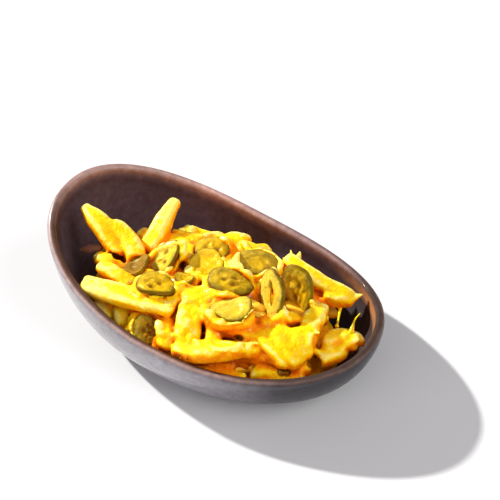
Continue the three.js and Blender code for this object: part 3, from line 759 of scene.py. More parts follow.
class Fry:
    def __init__(self, row):
        (x, y, z, self.L, h, p, self.side_bow, self.up_bow) = row[:8]
        (self.w, self.t, self.e0, self.e1, self.tone, self.cover) = row[8:14]
        self.inset = 0.3 if self.cover < -0.3 else 1.15
        h, p = math.radians(h), math.radians(p)
        self.mid = np.array([x, y, z], float)
        self.d = np.array([math.cos(h) * math.cos(p), math.sin(h) * math.cos(p), math.sin(p)])
        self.side = np.array([-math.sin(h), math.cos(h), 0.0])
        self.up = np.cross(self.d, self.side)

    def taper(self, s):
        """Width factor at s = -1/2..1/2: full in the middle and e0, e1 towards the two ends."""
        q = np.clip(s * 2, -1, 1)
        a = np.where(q < 0, self.e0, self.e1)
        return 1 - (1 - a) * np.abs(q) ** 1.6

    def centre(self, s):
        b = 1 - 4 * s * s
        return (
            self.mid
            + np.multiply.outer(s * self.L, self.d)
            + np.multiply.outer(b * self.side_bow, self.side)
            + np.multiply.outer(b * self.up_bow, self.up)
        )

    def reach(self):
        c = self.centre(np.array([-0.5, 0.0, 0.5]))
        r = max(self.w, self.t) / 2 + 1
        return c.min(0) - r, c.max(0) + r

    def field(self, P, grow=0.0):
        """Signed distance in mm of points P (..., 3) from the fry's surface, grown by grow."""
        q = P - self.mid
        along = q @ self.d
        s = np.clip(along / self.L, -0.5, 0.5)
        b = 1 - 4 * s * s
        ps = q @ self.side - b * self.side_bow
        pu = q @ self.up - b * self.up_bow
        k = self.taper(s)
        hw, ht = self.w / 2 * k + grow, self.t / 2 * k + grow
        r = 0.68 * np.minimum(hw, ht)
        qa = np.abs(along) - self.L / 2 - grow + r
        qs, qu = np.abs(ps) - hw + r, np.abs(pu) - ht + r
        out = np.sqrt(
            np.maximum(qa, 0) ** 2 + np.maximum(qs, 0) ** 2 + np.maximum(qu, 0) ** 2
        )
        return out + np.minimum(np.maximum(np.maximum(qa, qs), qu), 0) - r


def slice_axes(row):
    h, t, s = (math.radians(a) for a in row[3:6])
    rz = lambda a: np.array(
        [[math.cos(a), -math.sin(a), 0], [math.sin(a), math.cos(a), 0], [0, 0, 1]]
    )
    ry = np.array([[math.cos(t), 0, math.sin(t)], [0, 1, 0], [-math.sin(t), 0, math.cos(t)]])
    return rz(h) @ ry @ rz(s)  # columns are the slice's own X, Y and axis


def slice_room(row, P, grow):
    """Signed distance, about, of points from a slice's filled disc, grown by grow."""
    q = (P - np.array(row[:3])) @ slice_axes(row)
    a, b, h = row[6] + grow, row[7] + grow, row[8] / 2 + grow
    rho = np.sqrt((q[..., 0] / a) ** 2 + (q[..., 1] / b) ** 2)
    return np.maximum((rho - 1) * min(a, b), np.abs(q[..., 2]) - h)


def out_of_slices(p, grow=0.35):
    """Points that are inside a slice's room move out under it, along its axis."""
    for row in SLICES.values():
        A = slice_axes(row)
        q = (p - np.array(row[:3])) @ A
        a, b, h = row[6] + grow, row[7] + grow, row[8] / 2 + grow
        rho = np.sqrt((q[:, 0] / a) ** 2 + (q[:, 1] / b) ** 2)
        k = (rho < 1) & (np.abs(q[:, 2]) < h)
        q[k, 2] = -h
        p = np.where(k[:, None], q @ A.T + np.array(row[:3]), p)
    return p


def in_pits(p):
    """How far points are down a hollow, 0..1, for its painted shade."""
    best = np.zeros(len(p))
    for x, y, z, r, deep in PITS:
        q = p - np.array([x, y, z])
        along = q @ VIEW
        near = np.linalg.norm(q - np.outer(along, VIEW), axis=1)
        g = np.clip((along + 0.6) / 2.2, 0, 1) * np.clip((1.35 * r - near) / (0.3 * r), 0, 1)
        best = np.maximum(best, g * (along < deep + 8))
    return best


def out_of_pits(p):
    """Points in a dark hollow sink along it."""
    for x, y, z, r, deep in PITS:
        A, B = np.array([x, y, z]) - 3.0 * VIEW, np.array([x, y, z]) + deep * VIEW
        along = (p - A) @ VIEW
        off = p - A - np.outer(along, VIEW)
        near = np.linalg.norm(off, axis=1)
        k = (near < r) & (along > 0) & (along < deep + 3)
        sink = (deep + 3 - along) * np.sqrt(np.clip(1 - (near / r) ** 2, 0, 1))
        p = p + np.outer(np.where(k, sink, 0), VIEW)
    return p


# ---- the inside of the bowl as a height map, to keep the food clear of the wall
HX, HY, HSTEP = np.arange(-106, 106.1, 1.0), np.arange(-68, 68.1, 1.0), 1.0


def inside_heights():
    z = np.full((len(HX), len(HY)), np.nan)
    t = np.linspace(0, 2 * math.pi, 2400)
    for s in np.linspace(0, 1, 500):
        p = inner_wall(t, s)
        i = np.round((p[:, 0] - HX[0]) / HSTEP).astype(int)
        j = np.round((p[:, 1] - HY[0]) / HSTEP).astype(int)
        z[i, j] = np.fmax(z[i, j], p[:, 2])
    gx, gy = np.meshgrid(HX, HY, indexing="ij")
    flat = (gx / (FOOT_A - FLOOR_INSET)) ** 2 + (gy / (FOOT_B - FLOOR_INSET)) ** 2 < 1
    z[flat] = FLOOR
    bad = np.isnan(z)
    z[bad] = 200.0
    return z


HEIGHTS = inside_heights()
HGX, HGY = np.gradient(np.minimum(HEIGHTS, 80.0), HSTEP)


def sample(field, x, y):
    fx = np.clip((x - HX[0]) / HSTEP, 0, len(HX) - 1.001)
    fy = np.clip((y - HY[0]) / HSTEP, 0, len(HY) - 1.001)
    i, j = fx.astype(int), fy.astype(int)
    u, v = fx - i, fy - j
    return (
        field[i, j] * (1 - u) * (1 - v)
        + field[i + 1, j] * u * (1 - v)
        + field[i, j + 1] * (1 - u) * v
        + field[i + 1, j + 1] * u * v
    )


def off_the_wall(p, gap=0.5):
    """Points beyond the inside of the bowl move back in, square to the wall."""
    p = p.copy()
    for _ in range(3):
        z = sample(np.minimum(HEIGHTS, 80.0), p[:, 0], p[:, 1])
        gx, gy = sample(HGX, p[:, 0], p[:, 1]), sample(HGY, p[:, 0], p[:, 1])
        n = np.stack([-gx, -gy, np.ones_like(gx)], -1)
        size = np.linalg.norm(n, axis=-1, keepdims=True)
        depth = (z + gap - p[:, 2]) / size[:, 0]
        p += n / size * np.clip(depth, 0, 4)[:, None]
    return p


def fry_points(f, rng, around=20, rings=None):
    """One fry as a ring mesh: (points, faces, brown)."""
    rings = rings or max(9, int(f.L / 1.9))
    s = np.linspace(-0.5, 0.5, rings)
    near_end = np.array([0.0, 0.3, 0.9, 1.8]) / f.L
    ends = np.concatenate([-0.5 + near_end, s[(np.abs(s) < 0.5 - 2.4 / f.L)], 0.5 - near_end[::-1]])
    round_off = 3.0 / f.L
    e = np.clip((0.5 - np.abs(ends)) / round_off, 0, 1)
    cap = np.sqrt(np.clip(1 - (1 - e) ** 2, 0, 1)) * 0.6 + 0.4
    a = np.linspace(0, 2 * math.pi, around, endpoint=False)
    k = f.taper(ends) * cap
    wob = rng.normal(0, 1, (4, 3))
    ph = rng.uniform(0, 6.28, (4, 3))
    w = (f.w / 2 * k - f.inset) * (1 + 0.035 * sum(wob[i, 0] * np.sin((i + 2) * 3 * ends + ph[i, 0]) for i in range(4)))
    t = (f.t / 2 * k - f.inset) * (1 + 0.035 * sum(wob[i, 1] * np.sin((i + 2) * 3 * ends + ph[i, 1]) for i in range(4)))
    twist = 0.10 * wob[0, 2] * ends
    skew = 0.10 * rng.uniform(-1, 1, 4)
    c = f.centre(ends)
    ca, sa = spow(np.cos(a), 0.64), spow(np.sin(a), 0.64)
    pts = []
    for i in range(len(ends)):
        x = ca * w[i] * (1 + skew[0] * sa)
        y = sa * t[i] * (1 + skew[1] * ca)
        ct, st = math.cos(twist[i]), math.sin(twist[i])
        x, y = x * ct - y * st, x * st + y * ct
        lean = (skew[2] * x + skew[3] * y) * 1.8 * (2 * ends[i]) ** 3
        pts.append(c[i] + np.outer(x, f.side) + np.outer(y, f.up) + np.outer(lean, f.d))
    p = np.concatenate(pts + [c[:1], c[-1:]])
    n = len(ends)
    faces = grid_faces(n, around)
    last = (n - 1) * around
    faces += [[n * around, (j + 1) % around, j] for j in range(around)]
    faces += [[n * around + 1, last + j, last + (j + 1) % around] for j in range(around)]
    edge = np.abs(np.abs(np.cos(2 * a)))  # 0 on the four edges
    brown = np.repeat(np.clip(np.abs(ends) * 2 - 0.8, 0, 0.2) * 3.0, around)
    brown = brown + np.tile(0.25 * (1 - edge) ** 2, n)
    brown = np.concatenate([brown, [0.5, 0.5]])
    return p, faces, brown


def make_fries(extra):
    rng = np.random.default_rng(7)
    co, faces, brown, tone, base = [], [], [], [], 0
    for f in list(HEAP.values()) + extra:
        p, fc, br = fry_points(f, rng)
        if f.tone > 0.85 and f.cover < -2:
            br = br * 0 + 1.0
        p = off_the_wall(out_of_pits(out_of_slices(bent(p))))
        co.append(p)
        faces += [[i + base for i in q] for q in fc]
        brown.append(np.clip(br + rng.uniform(-0.05, 0.2), 0, 1))
        tone.append(np.full(len(p), f.tone))
        base += len(p)
    return new_object(
        "fries",
        np.concatenate(co),
        faces,
        fry_material(),
        True,
        {
            "brown": np.concatenate(brown),
            "tone": np.concatenate(tone),
            "pit": in_pits(np.concatenate(co)),
        },
    )


def filler_fries():
    """Fries of the layers below, which show through the gaps and round the sides."""
    rng = np.random.default_rng(21)
    out = []
    for _ in range(70):
        u, v = rng.uniform(-0.86, 0.86), rng.uniform(-0.86, 0.86)
        if u * u + v * v > 0.8:
            continue
        x, y = 2 + 84 * u, -8 + 54 * v
        top = mound_height(x, y) - 4.5 - rng.uniform(0, 3)
        gx = (mound_height(x + 3, y) - mound_height(x - 3, y)) / 6
        gy = (mound_height(x, y + 3) - mound_height(x, y - 3)) / 6
        h = rng.normal(0, 45)
        slope = gx * math.cos(math.radians(h)) + gy * math.sin(math.radians(h))
        row = (x, y, top, rng.uniform(26, 42), h, math.degrees(math.atan(slope * 0.8)))
        row += (rng.uniform(-1, 1), rng.uniform(0, 1.5), rng.uniform(8.5, 10.5), rng.uniform(8.5, 10))
        row += (0.8, 0.8, rng.uniform(0.3, 0.7), 0.0)
        f = Fry(row)
        tips = f.centre(np.array([-0.5, -0.25, 0.25, 0.5]))
        room = tips[:, 2] - sample(np.minimum(HEIGHTS, 80.0), tips[:, 0], tips[:, 1])
        if room.min() > 7:
            out.append(f)
    return out


def mound_height(x, y, drop=0.0):
    r2 = ((x - 2) / 84) ** 2 + ((y + 10) / 55) ** 2
    return 9 + 31 * np.clip(1 - r2, 0, 1) ** 0.4 - drop


def make_core():
    """The smaller core that stands in for the fries nobody sees."""
    rings, around = 22, 72
    a = np.linspace(0, 2 * math.pi, around, endpoint=False)
    rows = []
    rng = np.random.default_rng(3)
    for i in range(1, rings + 1):
        r = i / rings * 0.985
        x, y = 2 + 80 * r * np.cos(a), -10 + 51 * r * np.sin(a)
        z = mound_height(x, y, 7.5) + 0.9 * np.sin(x / 4.3 + 1) * np.cos(y / 3.7)
        rows.append(np.stack([x, y, np.maximum(z, 6.0)], -1))
    for r in (0.9, 0.55, 0.2):
        rows.append(np.stack([2 + 80 * r * np.cos(a), -10 + 51 * r * np.sin(a), 0 * a + 5.6], -1))
    p = np.array(rows)
    n = len(rows)
    co = np.concatenate([p.reshape(-1, 3), [[2, -10, mound_height(2, -10, 7.5)], [2, -10, 5.6]]])
    faces = grid_faces(n, around)
    last = (n - 1) * around
    faces += [[n * around, (j + 1) % around, j] for j in range(around)]
    faces += [[n * around + 1, last + j, last + (j + 1) % around] for j in range(around)]
    faces = [q[::-1] for q in faces]
    co = off_the_wall(co, 0.8)
    return new_object("heap_core", co, faces, core_material(), True)


# ------------------------------------------------------------------ the melted cheese
def surface_nets(F):
    """Quads of the zero surface of a field on a grid, in grid units: (points, quads, cells)."""
    inside = F < 0
    count = np.zeros(tuple(n - 1 for n in F.shape), np.int8)
    corners = [(i, j, k) for i in (0, 1) for j in (0, 1) for k in (0, 1)]
    cut = lambda a, o: a[tuple(slice(x, n - 1 + x) for x, n in zip(o, a.shape))]
    for o in corners:
        count += cut(inside, o)
    active = (count > 0) & (count < 8)
    cells = np.argwhere(active)
    index = np.full(active.shape, -1, np.int64)
    index[active] = np.arange(len(cells))
    pos, hits = np.zeros((len(cells), 3)), np.zeros(len(cells))
    for a in corners:
        for axis in range(3):
            if a[axis]:
                continue
            b = list(a)
            b[axis] = 1
            va = F[tuple((cells + a).T)].astype(float)
            vb = F[tuple((cells + b).T)].astype(float)
            m = (va < 0) != (vb < 0)
            t = va[m] / (va[m] - vb[m])
            p = np.repeat(np.array([a], float), m.sum(), 0)
            p[:, axis] += t
            pos[m] += p
            hits[m] += 1
    pos = pos / hits[:, None] + cells
    quads = []
    for axis in range(3):
        u, v = [x for x in range(3) if x != axis]
        lo = np.take(inside, np.arange(F.shape[axis] - 1), axis)
        hi = np.take(inside, np.arange(1, F.shape[axis]), axis)
        for flip, mask in ((False, lo & ~hi), (True, ~lo & hi)):
            e = np.argwhere(mask)
            e = e[(e[:, u] > 0) & (e[:, v] > 0)]
            e = e[(e[:, u] < F.shape[u] - 1) & (e[:, v] < F.shape[v] - 1)]
            ring = []
            for du, dv in ((1, 1), (0, 1), (0, 0), (1, 0)):
                c = e.copy()
                c[:, u] -= du
                c[:, v] -= dv
                ring.append(index[tuple(c.T)])
            q = np.stack(ring, -1)
            if flip != (axis == 1):
                q = q[:, ::-1]
            quads.append(q)
    return pos, np.concatenate(quads), cells


def relax(p, quads, passes):
    """Evens out the steps of the grid without shrinking what it smooths."""
    a = quads.reshape(-1)
    b = np.roll(quads, -1, axis=1).reshape(-1)
    count = np.bincount(a, minlength=len(p)) + np.bincount(b, minlength=len(p))
    for i in range(2 * passes):
        mean = np.stack(
            [
                np.bincount(a, p[b, k], len(p)) + np.bincount(b, p[a, k], len(p))
                for k in range(3)
            ],
            -1,
        ) / np.maximum(count, 1)[:, None]
        p = p + (0.6 if i % 2 == 0 else -0.56) * np.where(count[:, None] > 0, mean - p, 0)
    return p


def at_points(grid, p):
    """Values of a grid at points in grid units, straight between its nodes."""
    p = np.clip(p, 0, np.array(grid.shape) - 1.001)
    i = p.astype(int)
    f = p - i
    out = np.zeros(len(p))
    for a in (0, 1):
        for b in (0, 1):
            for c in (0, 1):
                w = np.abs(1 - a - f[:, 0]) * np.abs(1 - b - f[:, 1]) * np.abs(1 - c - f[:, 2])
                out += w * grid[i[:, 0] + a, i[:, 1] + b, i[:, 2] + c]
    return out


def smooth_union(a, b, k):
    h = np.maximum(k - np.abs(a - b), 0) / k
    return np.minimum(a, b) - h * h * k / 4


def box_blur(a, n):
    """Mean over 2n + 1 cells each way."""
    for axis in range(a.ndim):
        pad = [(n + 1, n) if i == axis else (0, 0) for i in range(a.ndim)]
        c = np.cumsum(np.pad(a, pad, mode="edge"), axis, dtype=np.float32)
        m = a.shape[axis]
        take = lambda lo: c[tuple(slice(lo, lo + m) if i == axis else slice(None) for i in range(a.ndim))]
        a = (take(2 * n + 1) - take(0)) / (2 * n + 1)
    return a


def make_cheese():
    step = 0.88
    lo, hi = FIELD_LOW, FIELD_HIGH
    shape = tuple(int(n) for n in np.ceil((hi - lo) / step))
    axes = [lo[i] + np.arange(shape[i]) * step for i in range(3)]
    far = 12.0
    hard = np.full(shape, far, np.float32)
    soft = np.full(shape, far, np.float32)
    tone_sum = np.zeros(shape, np.float32)
    cover_sum = np.zeros(shape, np.float32)
    # painted shade: away from any fry, down in the heap, the tone leans to orange
    weight = np.full(shape, 0.04, np.float32)
    tone_sum += 0.04 * 0.6

    bend = np.stack([coarse_noise(shape, step, BEND_SCALE, 31 + i) for i in range(3)], -1) * BEND

    def part_of(low, high, margin):
        i0 = np.clip(np.floor((low - margin - lo) / step).astype(int), 0, np.array(shape) - 1)
        i1 = np.clip(np.ceil((high + margin - lo) / step).astype(int), 1, np.array(shape))
        s = tuple(slice(a, b) for a, b in zip(i0, i1))
        if min(b - a for a, b in zip(i0, i1)) < 1:
            return None, None
        return s, np.stack(np.meshgrid(*[axes[i][s[i]] for i in range(3)], indexing="ij"), -1)

    def stamp(low, high, field, tone, cover, k, margin=5.0):
        s, P = part_of(low, high, margin + 1.5)
        if s is None:
            return
        d = field(P + bend[s]).astype(np.float32)
        hard[s] = np.minimum(hard[s], d)
        soft[s] = smooth_union(soft[s], d, k)
        w = np.exp(-np.clip(d, -3, 8) / 1.2)
        tone_sum[s] += w * tone
        cover_sum[s] += w * cover
        weight[s] += w

    def thread(A, B, r, tone, k, point=0.0, cover=0.2):
        def capsule(P):
            d = B - A
            t = np.clip(((P - A) @ d) / (d @ d), 0, 1)
            return np.linalg.norm(P - A - t[..., None] * d, axis=-1) - r * (1 - point * t)

        stamp(np.minimum(A, B) - r, np.maximum(A, B) + r, capsule, tone, cover, k, k + 1.5)

    for f in HEAP.values():
        a, b = f.reach()
        stamp(a, b, f.field, f.tone, f.cover, 2.1)
    for row in SLICES.values():
        A, c = slice_axes(row), np.array(row[:3])
        a, b = row[6:8]

        def bed(P):
            q = (P - c) @ A
            flat = np.sqrt((q[..., 0] / a) ** 2 + (q[..., 1] / b) ** 2) + 1e-6
            ang = np.arctan2(q[..., 1] / b, q[..., 0] / a)
            rise = a * A[2, 0] * np.cos(ang) + b * A[2, 1] * np.sin(ang)
            share = np.clip((2.0 - rise) / 4, 0, 1)
            wave = np.sin(2 * ang + a) + 0.7 * np.sin(5 * ang + 3 * b)
            over = np.clip(0.9 * np.sin(3 * ang + 2.3 * a) + 0.6 * np.sin(2 * ang + 5 * b), 0, 1.2)
            r = (1.1 + 0.35 * wave + 0.9 * over) * np.sqrt(share)
            out = np.hypot((flat - 1) * b - 0.3 + 0.9 * over, q[..., 2] + 1.0 - 0.4 * wave - 1.9 * over) - r
            out = np.where(share > 0, out, 9.0)
            if row[4] < 50:  # and the pad under it
                under = np.sqrt(flat**2 + ((q[..., 2] + 3.2) / 3.4) ** 2) - 1.08
                out = np.minimum(out, under * 3.4)
            return out

        r = a + 4
        stamp(c - r, c + r, bed, 0.1 if row[4] < 50 else 0.4, 0.0, 2.4, 0.0)
    gx, gy = np.meshgrid(axes[0], axes[1], indexing="ij")
    # the blanket of cheese that the slices lie in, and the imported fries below
    r2 = ((gx - 5) / 49) ** 2 + ((gy + 8) / 32) ** 2
    blanket = 30 + 18.0 * np.clip(1 - r2, 0, 1) ** 0.34
    body = np.maximum(np.where(r2 < 1, blanket, 0), mound_height(gx, gy, 6.5))
    slope = np.hypot(*np.gradient(body, step))
    d = (axes[2][None, None, :] - body[:, :, None]) / np.sqrt(1 + slope**2)[:, :, None]
    d = d.astype(np.float32)
    soft = smooth_union(soft, d, 2.6)
    hard = np.minimum(hard, d)
    # the creases the soft union fills, for the pooled cheese and the painted shade of the cheese's colour
    crevice = np.clip((hard - soft) / 0.7, 0, 1)

    # shreds and small lumps of cheese that melted where they fell
    rng = np.random.default_rng(11)
    solid = soft < 0
    top = np.where(
        solid.any(2), axes[2][shape[2] - 1 - np.argmax(solid[:, :, ::-1], 2)], 0.0
    )

    def height(x, y):
        i = int(np.clip(round((x - lo[0]) / step), 0, shape[0] - 1))
        j = int(np.clip(round((y - lo[1]) / step), 0, shape[1] - 1))
        return top[i, j]

    bare = [HEAP[k] for k in ("c", "d", "a1", "a2", "f", "i1", "i2")]

    def clear_of_bare(q):
        return min(float(f.field(q)) for f in bare) > 1.5

    for _ in range(130):
        while True:
            u, v = rng.uniform(-1, 1, 2)
            if u * u + v * v < 0.92:
                break
        x, y, h = 2 + 84 * u, -9 + 53 * v, rng.uniform(0, 2 * math.pi)
        r, turn, bits = rng.uniform(0.55, 1.15), rng.normal(0, 0.35), int(rng.integers(3, 7))
        last = None
        for _ in range(bits):
            z = height(x, y)
            here = np.array([x, y, z + 0.15])
            if last is not None:
                if z < 18 or abs(z - last[2]) > 4.5 or not clear_of_bare(here):
                    break
                thread(last, here, r, rng.uniform(-0.15, 0.1), 1.5)
            last = here
            x, y, h = x + 2.9 * math.cos(h), y + 2.9 * math.sin(h), h + turn
    for _ in range(70):
        u, v = rng.uniform(-1, 1, 2)
        if u * u + v * v > 0.95:
            continue
        x, y = 2 + 84 * u, -9 + 53 * v
        z = height(x, y)
        if z > 18 and clear_of_bare(np.array([x, y, z])):
            r = rng.uniform(0.9, 1.7)
            A = np.array([x, y, z - 0.5 * r])
            thread(A, A + rng.normal(0, 0.8, 3) * [1, 1, 0.3], r, -0.1, 1.8)
    for _ in range(44):  # torn points
        u, v = rng.uniform(-1, 1, 2)
        if u * u + v * v > 0.9:
            continue
        x, y = 4 + 80 * u, -9 + 48 * v
        z = height(x, y)
        if z > 22 and clear_of_bare(np.array([x, y, z])):
            h, rise = rng.uniform(0, 2 * math.pi), rng.uniform(0.1, 0.9)
            way = np.array([math.cos(h), math.sin(h), rise]) * rng.uniform(2.2, 4.2)
            thread(np.array([x, y, z - 0.4]), np.array([x, y, z - 0.2]) + way, rng.uniform(0.9, 1.5), -0.15, 1.6, 0.85)
    for x, y, z, r in LUMPS:
        A = np.array([x, y, z])
        thread(A, A + [0.4, 0.3, 0.0], r, -0.1, 1.4)
    for x0, y0, z0, x1, y1, z1, r, tone, point in STRANDS:
        A, B = np.array([x0, y0, z0], float), np.array([x1, y1, z1], float)
        thread(A, B, r, tone, 1.8, point)

    tone = tone_sum / weight
    cover = cover_sum / weight
    n1 = coarse_noise(shape, step, 9.0, 5)
    n2 = coarse_noise(shape, step, 4.2, 6)
    n3 = coarse_noise(shape, step, 1.9, 8)
    n4 = coarse_noise(shape, step, 6.5, 9)
    ridge = np.clip(1 - 2.2 * np.abs(n4), 0, 1) ** 2
    thick = 0.15 + 0.62 * n1 + 0.42 * n2 + 0.16 * n3 + 0.3 * ridge + cover
    F = soft - np.clip(thick, -1.5, 1.5)
    for x, y, z, r, deep in PITS:
        A = np.array([x, y, z]) - 3.0 * VIEW
        B = np.array([x, y, z]) + deep * VIEW
        s, P = part_of(np.minimum(A, B), np.maximum(A, B), r + 3)
        dv = B - A
        t = np.clip(((P - A) @ dv) / (dv @ dv), 0, 1)
        e = np.linalg.norm(P - A - t[..., None] * dv, axis=-1) - r * (1 - 0.25 * t)
        F[s] = -smooth_union(-F[s], (e + 0.25 * n2[s]).astype(np.float32), 1.2)
    whole = F.copy()
    for row in SLICES.values():
        c, r = np.array(row[:3]), max(row[6:8]) + 2
        s, P = part_of(c - r, c + r, 0.0)
        q = (P - c) @ slice_axes(row)
        above = np.where(q[..., 2] > 0, q[..., 2] * 0.2, q[..., 2])
        rho = np.sqrt((q[..., 0] / (row[6] - 0.5)) ** 2 + (q[..., 1] / (row[7] - 0.5)) ** 2)
        ang = np.arctan2(q[..., 1] / row[7], q[..., 0] / row[6])
        over = np.clip(0.9 * np.sin(3 * ang + 2.3 * row[6]) + 0.6 * np.sin(2 * ang + 5 * row[7]), 0, 1.2)
        lap = np.clip(0.3 + 0.9 * n2[s] + 0.6 * n1[s] + 1.6 * over, 0, 2.8)
        room = np.maximum((rho - 1) * row[7] + lap, np.abs(above) - row[8] / 2 + 0.25)
        F[s] = -smooth_union(-F[s], room.astype(np.float32), 1.0)
        # the slices count as filled here, so the cheese next to them gets painted shade
        whole[s] = np.minimum(whole[s], np.maximum((rho - 1) * row[7], np.abs(q[..., 2]) - row[8] / 2))
    for name, u, v, r in DRIPS:
        row = SLICES[name]
        A = slice_axes(row)
        c = np.array(row[:3]) + A @ np.array([u * row[6], v * row[7], row[8] * 0.38 - 0.15])
        s, P = part_of(c - r, c + r, 3.0)
        q = (P + bend[s] * 0.8 - c) @ A
        e = np.sqrt(q[..., 0] ** 2 + q[..., 1] ** 2 + (2.2 * q[..., 2]) ** 2) - r
        F[s] = smooth_union(F[s], (e * 0.6 + 0.45 * n2[s]).astype(np.float32), 2.6)
    wall_z = sample(np.minimum(HEIGHTS, 80.0), gx, gy)
    steep = np.hypot(sample(HGX, gx, gy), sample(HGY, gx, gy))
    inside = (wall_z[:, :, None] + 0.45 - axes[2]) / np.sqrt(1 + steep**2)[:, :, None]
    F = np.maximum(F, inside.astype(np.float32))
    solid = np.clip(0.5 - whole / (2 * step), 0, 1).astype(np.float32)
    near = box_blur(solid, max(1, round(2.2 / step)))
    wide = box_blur(near, max(1, round(4.0 / step)))
    p, quads, cells = surface_nets(F)
    p = relax(p, quads, 3)
    world = p * step + lo
    # what lies against the wall and the floor isn't seen
    touch = sample(np.minimum(HEIGHTS, 80.0), world[:, 0], world[:, 1]) + 1.0 > world[:, 2]
    touch |= world[:, 2] < lo[2] + 1.2
    keep = ~touch[quads].all(1)
    quads = quads[keep]
    used = np.unique(quads)
    number = np.full(len(world), -1)
    number[used] = np.arange(len(used))
    c = p[used]
    print("cheese", len(used), "points", len(quads), "quads")
    # how hemmed in each point is, for the painted shade in hollows and painted highlight on ridges
    hollow = (at_points(near, c) - 0.5) * 1.6 + (at_points(wide, c) - 0.5) * 1.8
    return new_object(
        "melted_cheese",
        world[used],
        number[quads].tolist(),
        cheese_material(),
        True,
        {
            "crevice": at_points(crevice, c),
            "tone": at_points(tone, c),
            "hollow": np.clip(hollow, -1, 1),
            "pit": in_pits(world[used]),
        },
    )


def make_threads():
    """Thin drawn threads of cheese between the fries."""
    around, co, faces, tones = 8, [], [], []
    a = np.linspace(0, 2 * math.pi, around, endpoint=False)
    for path in THREADS:
        key = np.array(path)
        t = np.linspace(0, len(key) - 1, 6 * (len(key) - 1) + 1)
        line = np.stack([np.interp(t, np.arange(len(key)), key[:, i]) for i in range(4)], -1)
        for _ in range(4):
            line[1:-1] = 0.25 * line[:-2] + 0.5 * line[1:-1] + 0.25 * line[2:]
        d = np.gradient(line[:, :3], axis=0)
        d /= np.linalg.norm(d, axis=1, keepdims=True)
        u = np.cross(d, [0.3, 0.9, 0.1])
        u /= np.linalg.norm(u, axis=1, keepdims=True)
        w = np.cross(d, u)
        base = sum(len(c) for c in co)
        ring = line[:, None, :3] + line[:, None, 3:] * (
            u[:, None] * np.cos(a)[None, :, None] + w[:, None] * np.sin(a)[None, :, None]
        )
        n = len(line)
        co.append(np.concatenate([ring.reshape(-1, 3), line[:1, :3], line[-1:, :3]]))
        faces += grid_faces(n, around, base)
        k, last = base + n * around, base + (n - 1) * around
        faces += [[k, base + (j + 1) % around, base + j] for j in range(around)]
        faces += [[k + 1, last + j, last + (j + 1) % around] for j in range(around)]
        tones.append(np.full(len(co[-1]), -0.35))
    p = np.concatenate(co)
    zero = np.zeros(len(p))
    return new_object(
        "cheese_threads",
        p,
        faces,
        bpy.data.materials["melted_cheese"],
        True,
        {"crevice": zero, "tone": np.concatenate(tones), "hollow": zero, "pit": zero},
    )


